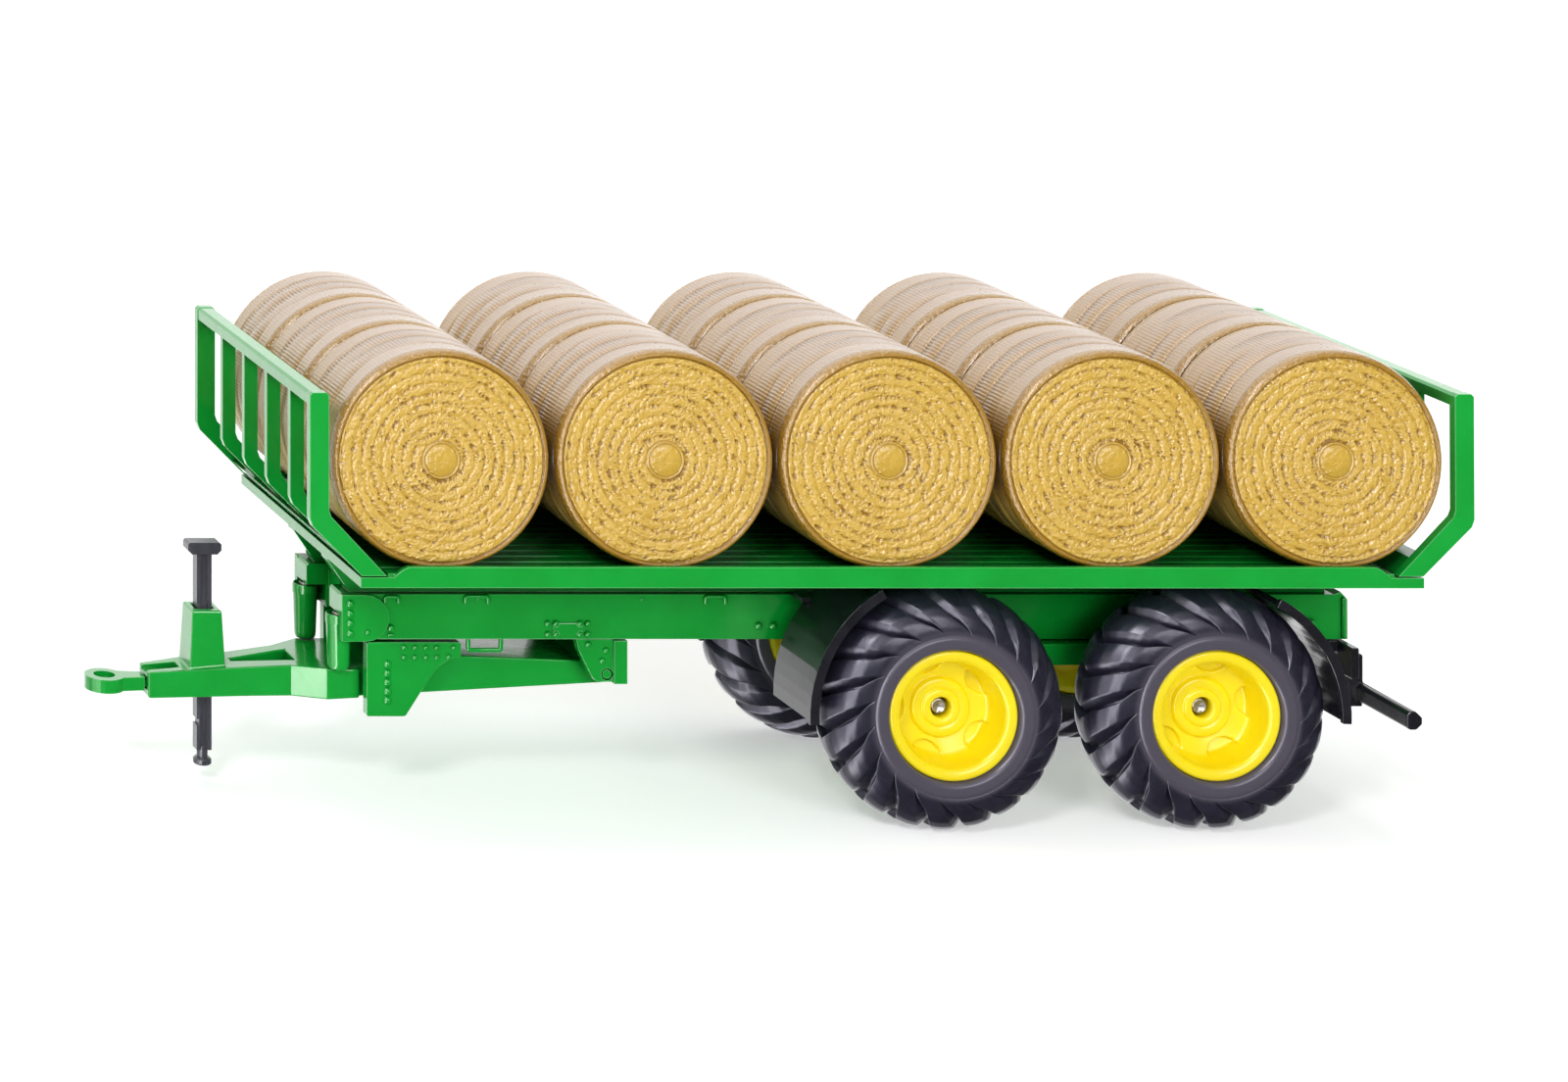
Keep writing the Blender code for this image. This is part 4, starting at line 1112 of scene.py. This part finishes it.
def build_floor():
    """White paper. A mirror sees in it the room's brightness for that direction, so gloss keeps its contrast."""
    floor_mesh = bpy.data.meshes.new("floor")
    corners = [(-1, -1), (1, -1), (1, 1), (-1, 1)]
    floor_mesh.from_pydata([(FLOOR_REACH * x, FLOOR_REACH * y, 0.0) for x, y in corners], [], [(0, 1, 2, 3)])
    floor = bpy.data.objects.new("floor", floor_mesh)
    bpy.context.scene.collection.objects.link(floor)
    n = Nodes("pale_floor")
    shade = n.ramp(n.noise(3.0, 2.0), (0.3, (0.90, 0.90, 0.90)), (0.7, (0.92, 0.92, 0.92)))
    mirrored = n.is_ray("Glossy")
    room = n.maths("MULTIPLY", mirrored, gloss_room(n, *n.axes_of(n.geometry("Incoming"), -1.0)))
    far = n.add("ShaderNodeVectorMath", operation="LENGTH")
    n.link(n.place, far.inputs[0])
    seen = n.maths("MULTIPLY", n.is_ray("Camera"), n.remap(far.outputs["Value"], 0.40, 0.80, 0.3, 1.2))
    bounce = n.maths("MULTIPLY", n.is_ray("Diffuse"), FLOOR_BOUNCE)
    n.set(
        Base_Color=n.mix(mirrored, shade, (0.0, 0.0, 0.0)),
        Roughness=0.95,
        Specular_IOR_Level=0.0,
        Emission_Color=(1.0, 1.0, 1.0),
        Emission_Strength=n.maths("ADD", n.maths("ADD", room, seen), bounce),
    )
    n.material.cycles.emission_sampling = "NONE"
    floor_mesh.materials.append(n.material)


def build_world():
    """Even white light for matt surfaces and the gloss room for mirrors. The camera sees plain white."""
    world = bpy.data.worlds.new("studio")
    world.use_nodes = True
    bpy.context.scene.world = world
    n = Tree(world.node_tree)
    background = n.tree.nodes["Background"]
    background.inputs["Color"].default_value = (1.0, 1.0, 1.0, 1.0)
    direction = n.add("ShaderNodeTexCoord").outputs["Generated"]
    mirrored = n.mix(n.is_ray("Glossy"), MATT_LIGHT, gloss_room(n, *n.axes_of(direction)), "VALUE")
    n.link(n.mix(n.is_ray("Camera"), mirrored, 1.0, "VALUE"), background.inputs["Strength"])


def softbox(name, location, size, power, target=(0.0, 0.0, 0.05)):
    light = bpy.data.lights.new(name, "AREA")
    light.shape = "RECTANGLE"
    light.size, light.size_y = size
    light.energy = power
    obj = bpy.data.objects.new(name, light)
    obj.location = location
    direction = Vector(target) - Vector(location)
    obj.rotation_euler = direction.to_track_quat("-Z", "Y").to_euler()
    bpy.context.scene.collection.objects.link(obj)


def build_studio():
    build_floor()
    build_world()
    softbox("top_softbox", (0.05, 0.30, 1.3), (1.1, 0.8), 4.5)
    softbox("left_softbox", (-0.75, -1.0, 0.95), (0.25, 0.25), 7.0)
    softbox("front_fill", (0.25, -1.6, 0.65), (0.9, 0.5), 13.0)


# The camera's place in mm, its turns in radians, its lens in mm and its shift in frame widths.
CAMERA_PLACE = (-394.3, -900.0, 311.5)
CAMERA_YAW = 0.0176
CAMERA_PITCH = -0.0176
CAMERA_ROLL = 0.0058
CAMERA_LENS = 93.46
CAMERA_SHIFT = (1.1213, -0.7968)


def build_camera():
    """A view camera: its back stays almost parallel to the trailer's side and its lens is shifted.

    The shift belongs to this placing alone, so it follows the camera's rotation mode: a camera that is turned by a
    quaternion, as for a view from any other side, has its lens centred.
    """
    data = bpy.data.cameras.new("camera")
    camera = bpy.data.objects.new("camera", data)
    bpy.context.scene.collection.objects.link(camera)
    bpy.context.scene.camera = camera
    data.sensor_width = 36.0
    data.lens = CAMERA_LENS
    data.clip_start, data.clip_end = 0.05, 50.0
    sy, cy = math.sin(CAMERA_YAW), math.cos(CAMERA_YAW)
    sp, cp = math.sin(CAMERA_PITCH), math.cos(CAMERA_PITCH)
    forward = Vector((sy * cp, cy * cp, -sp))
    level_right = Vector((cy, -sy, 0.0))
    level_up = level_right.cross(forward)
    right = level_right * math.cos(CAMERA_ROLL) + level_up * math.sin(CAMERA_ROLL)
    up = level_up * math.cos(CAMERA_ROLL) - level_right * math.sin(CAMERA_ROLL)
    camera.rotation_mode = "XYZ"
    camera.rotation_euler = Matrix((right, up, -forward)).transposed().to_euler("XYZ")
    camera.location = Vector(CAMERA_PLACE) * MM
    for path, amount in (("shift_x", CAMERA_SHIFT[0]), ("shift_y", CAMERA_SHIFT[1])):
        driver = data.driver_add(path).driver
        driver.type = "SCRIPTED"
        variable = driver.variables.new()
        variable.name = "mode"
        variable.type = "SINGLE_PROP"
        variable.targets[0].id = camera
        variable.targets[0].data_path = "rotation_mode"
        driver.expression = f"mode * {amount}"
    bpy.context.scene.view_settings.view_transform = "Standard"


dress_cad_nodes()
build_bales()
build_wheels()
build_fittings()
build_cups()
build_studio()
build_camera()
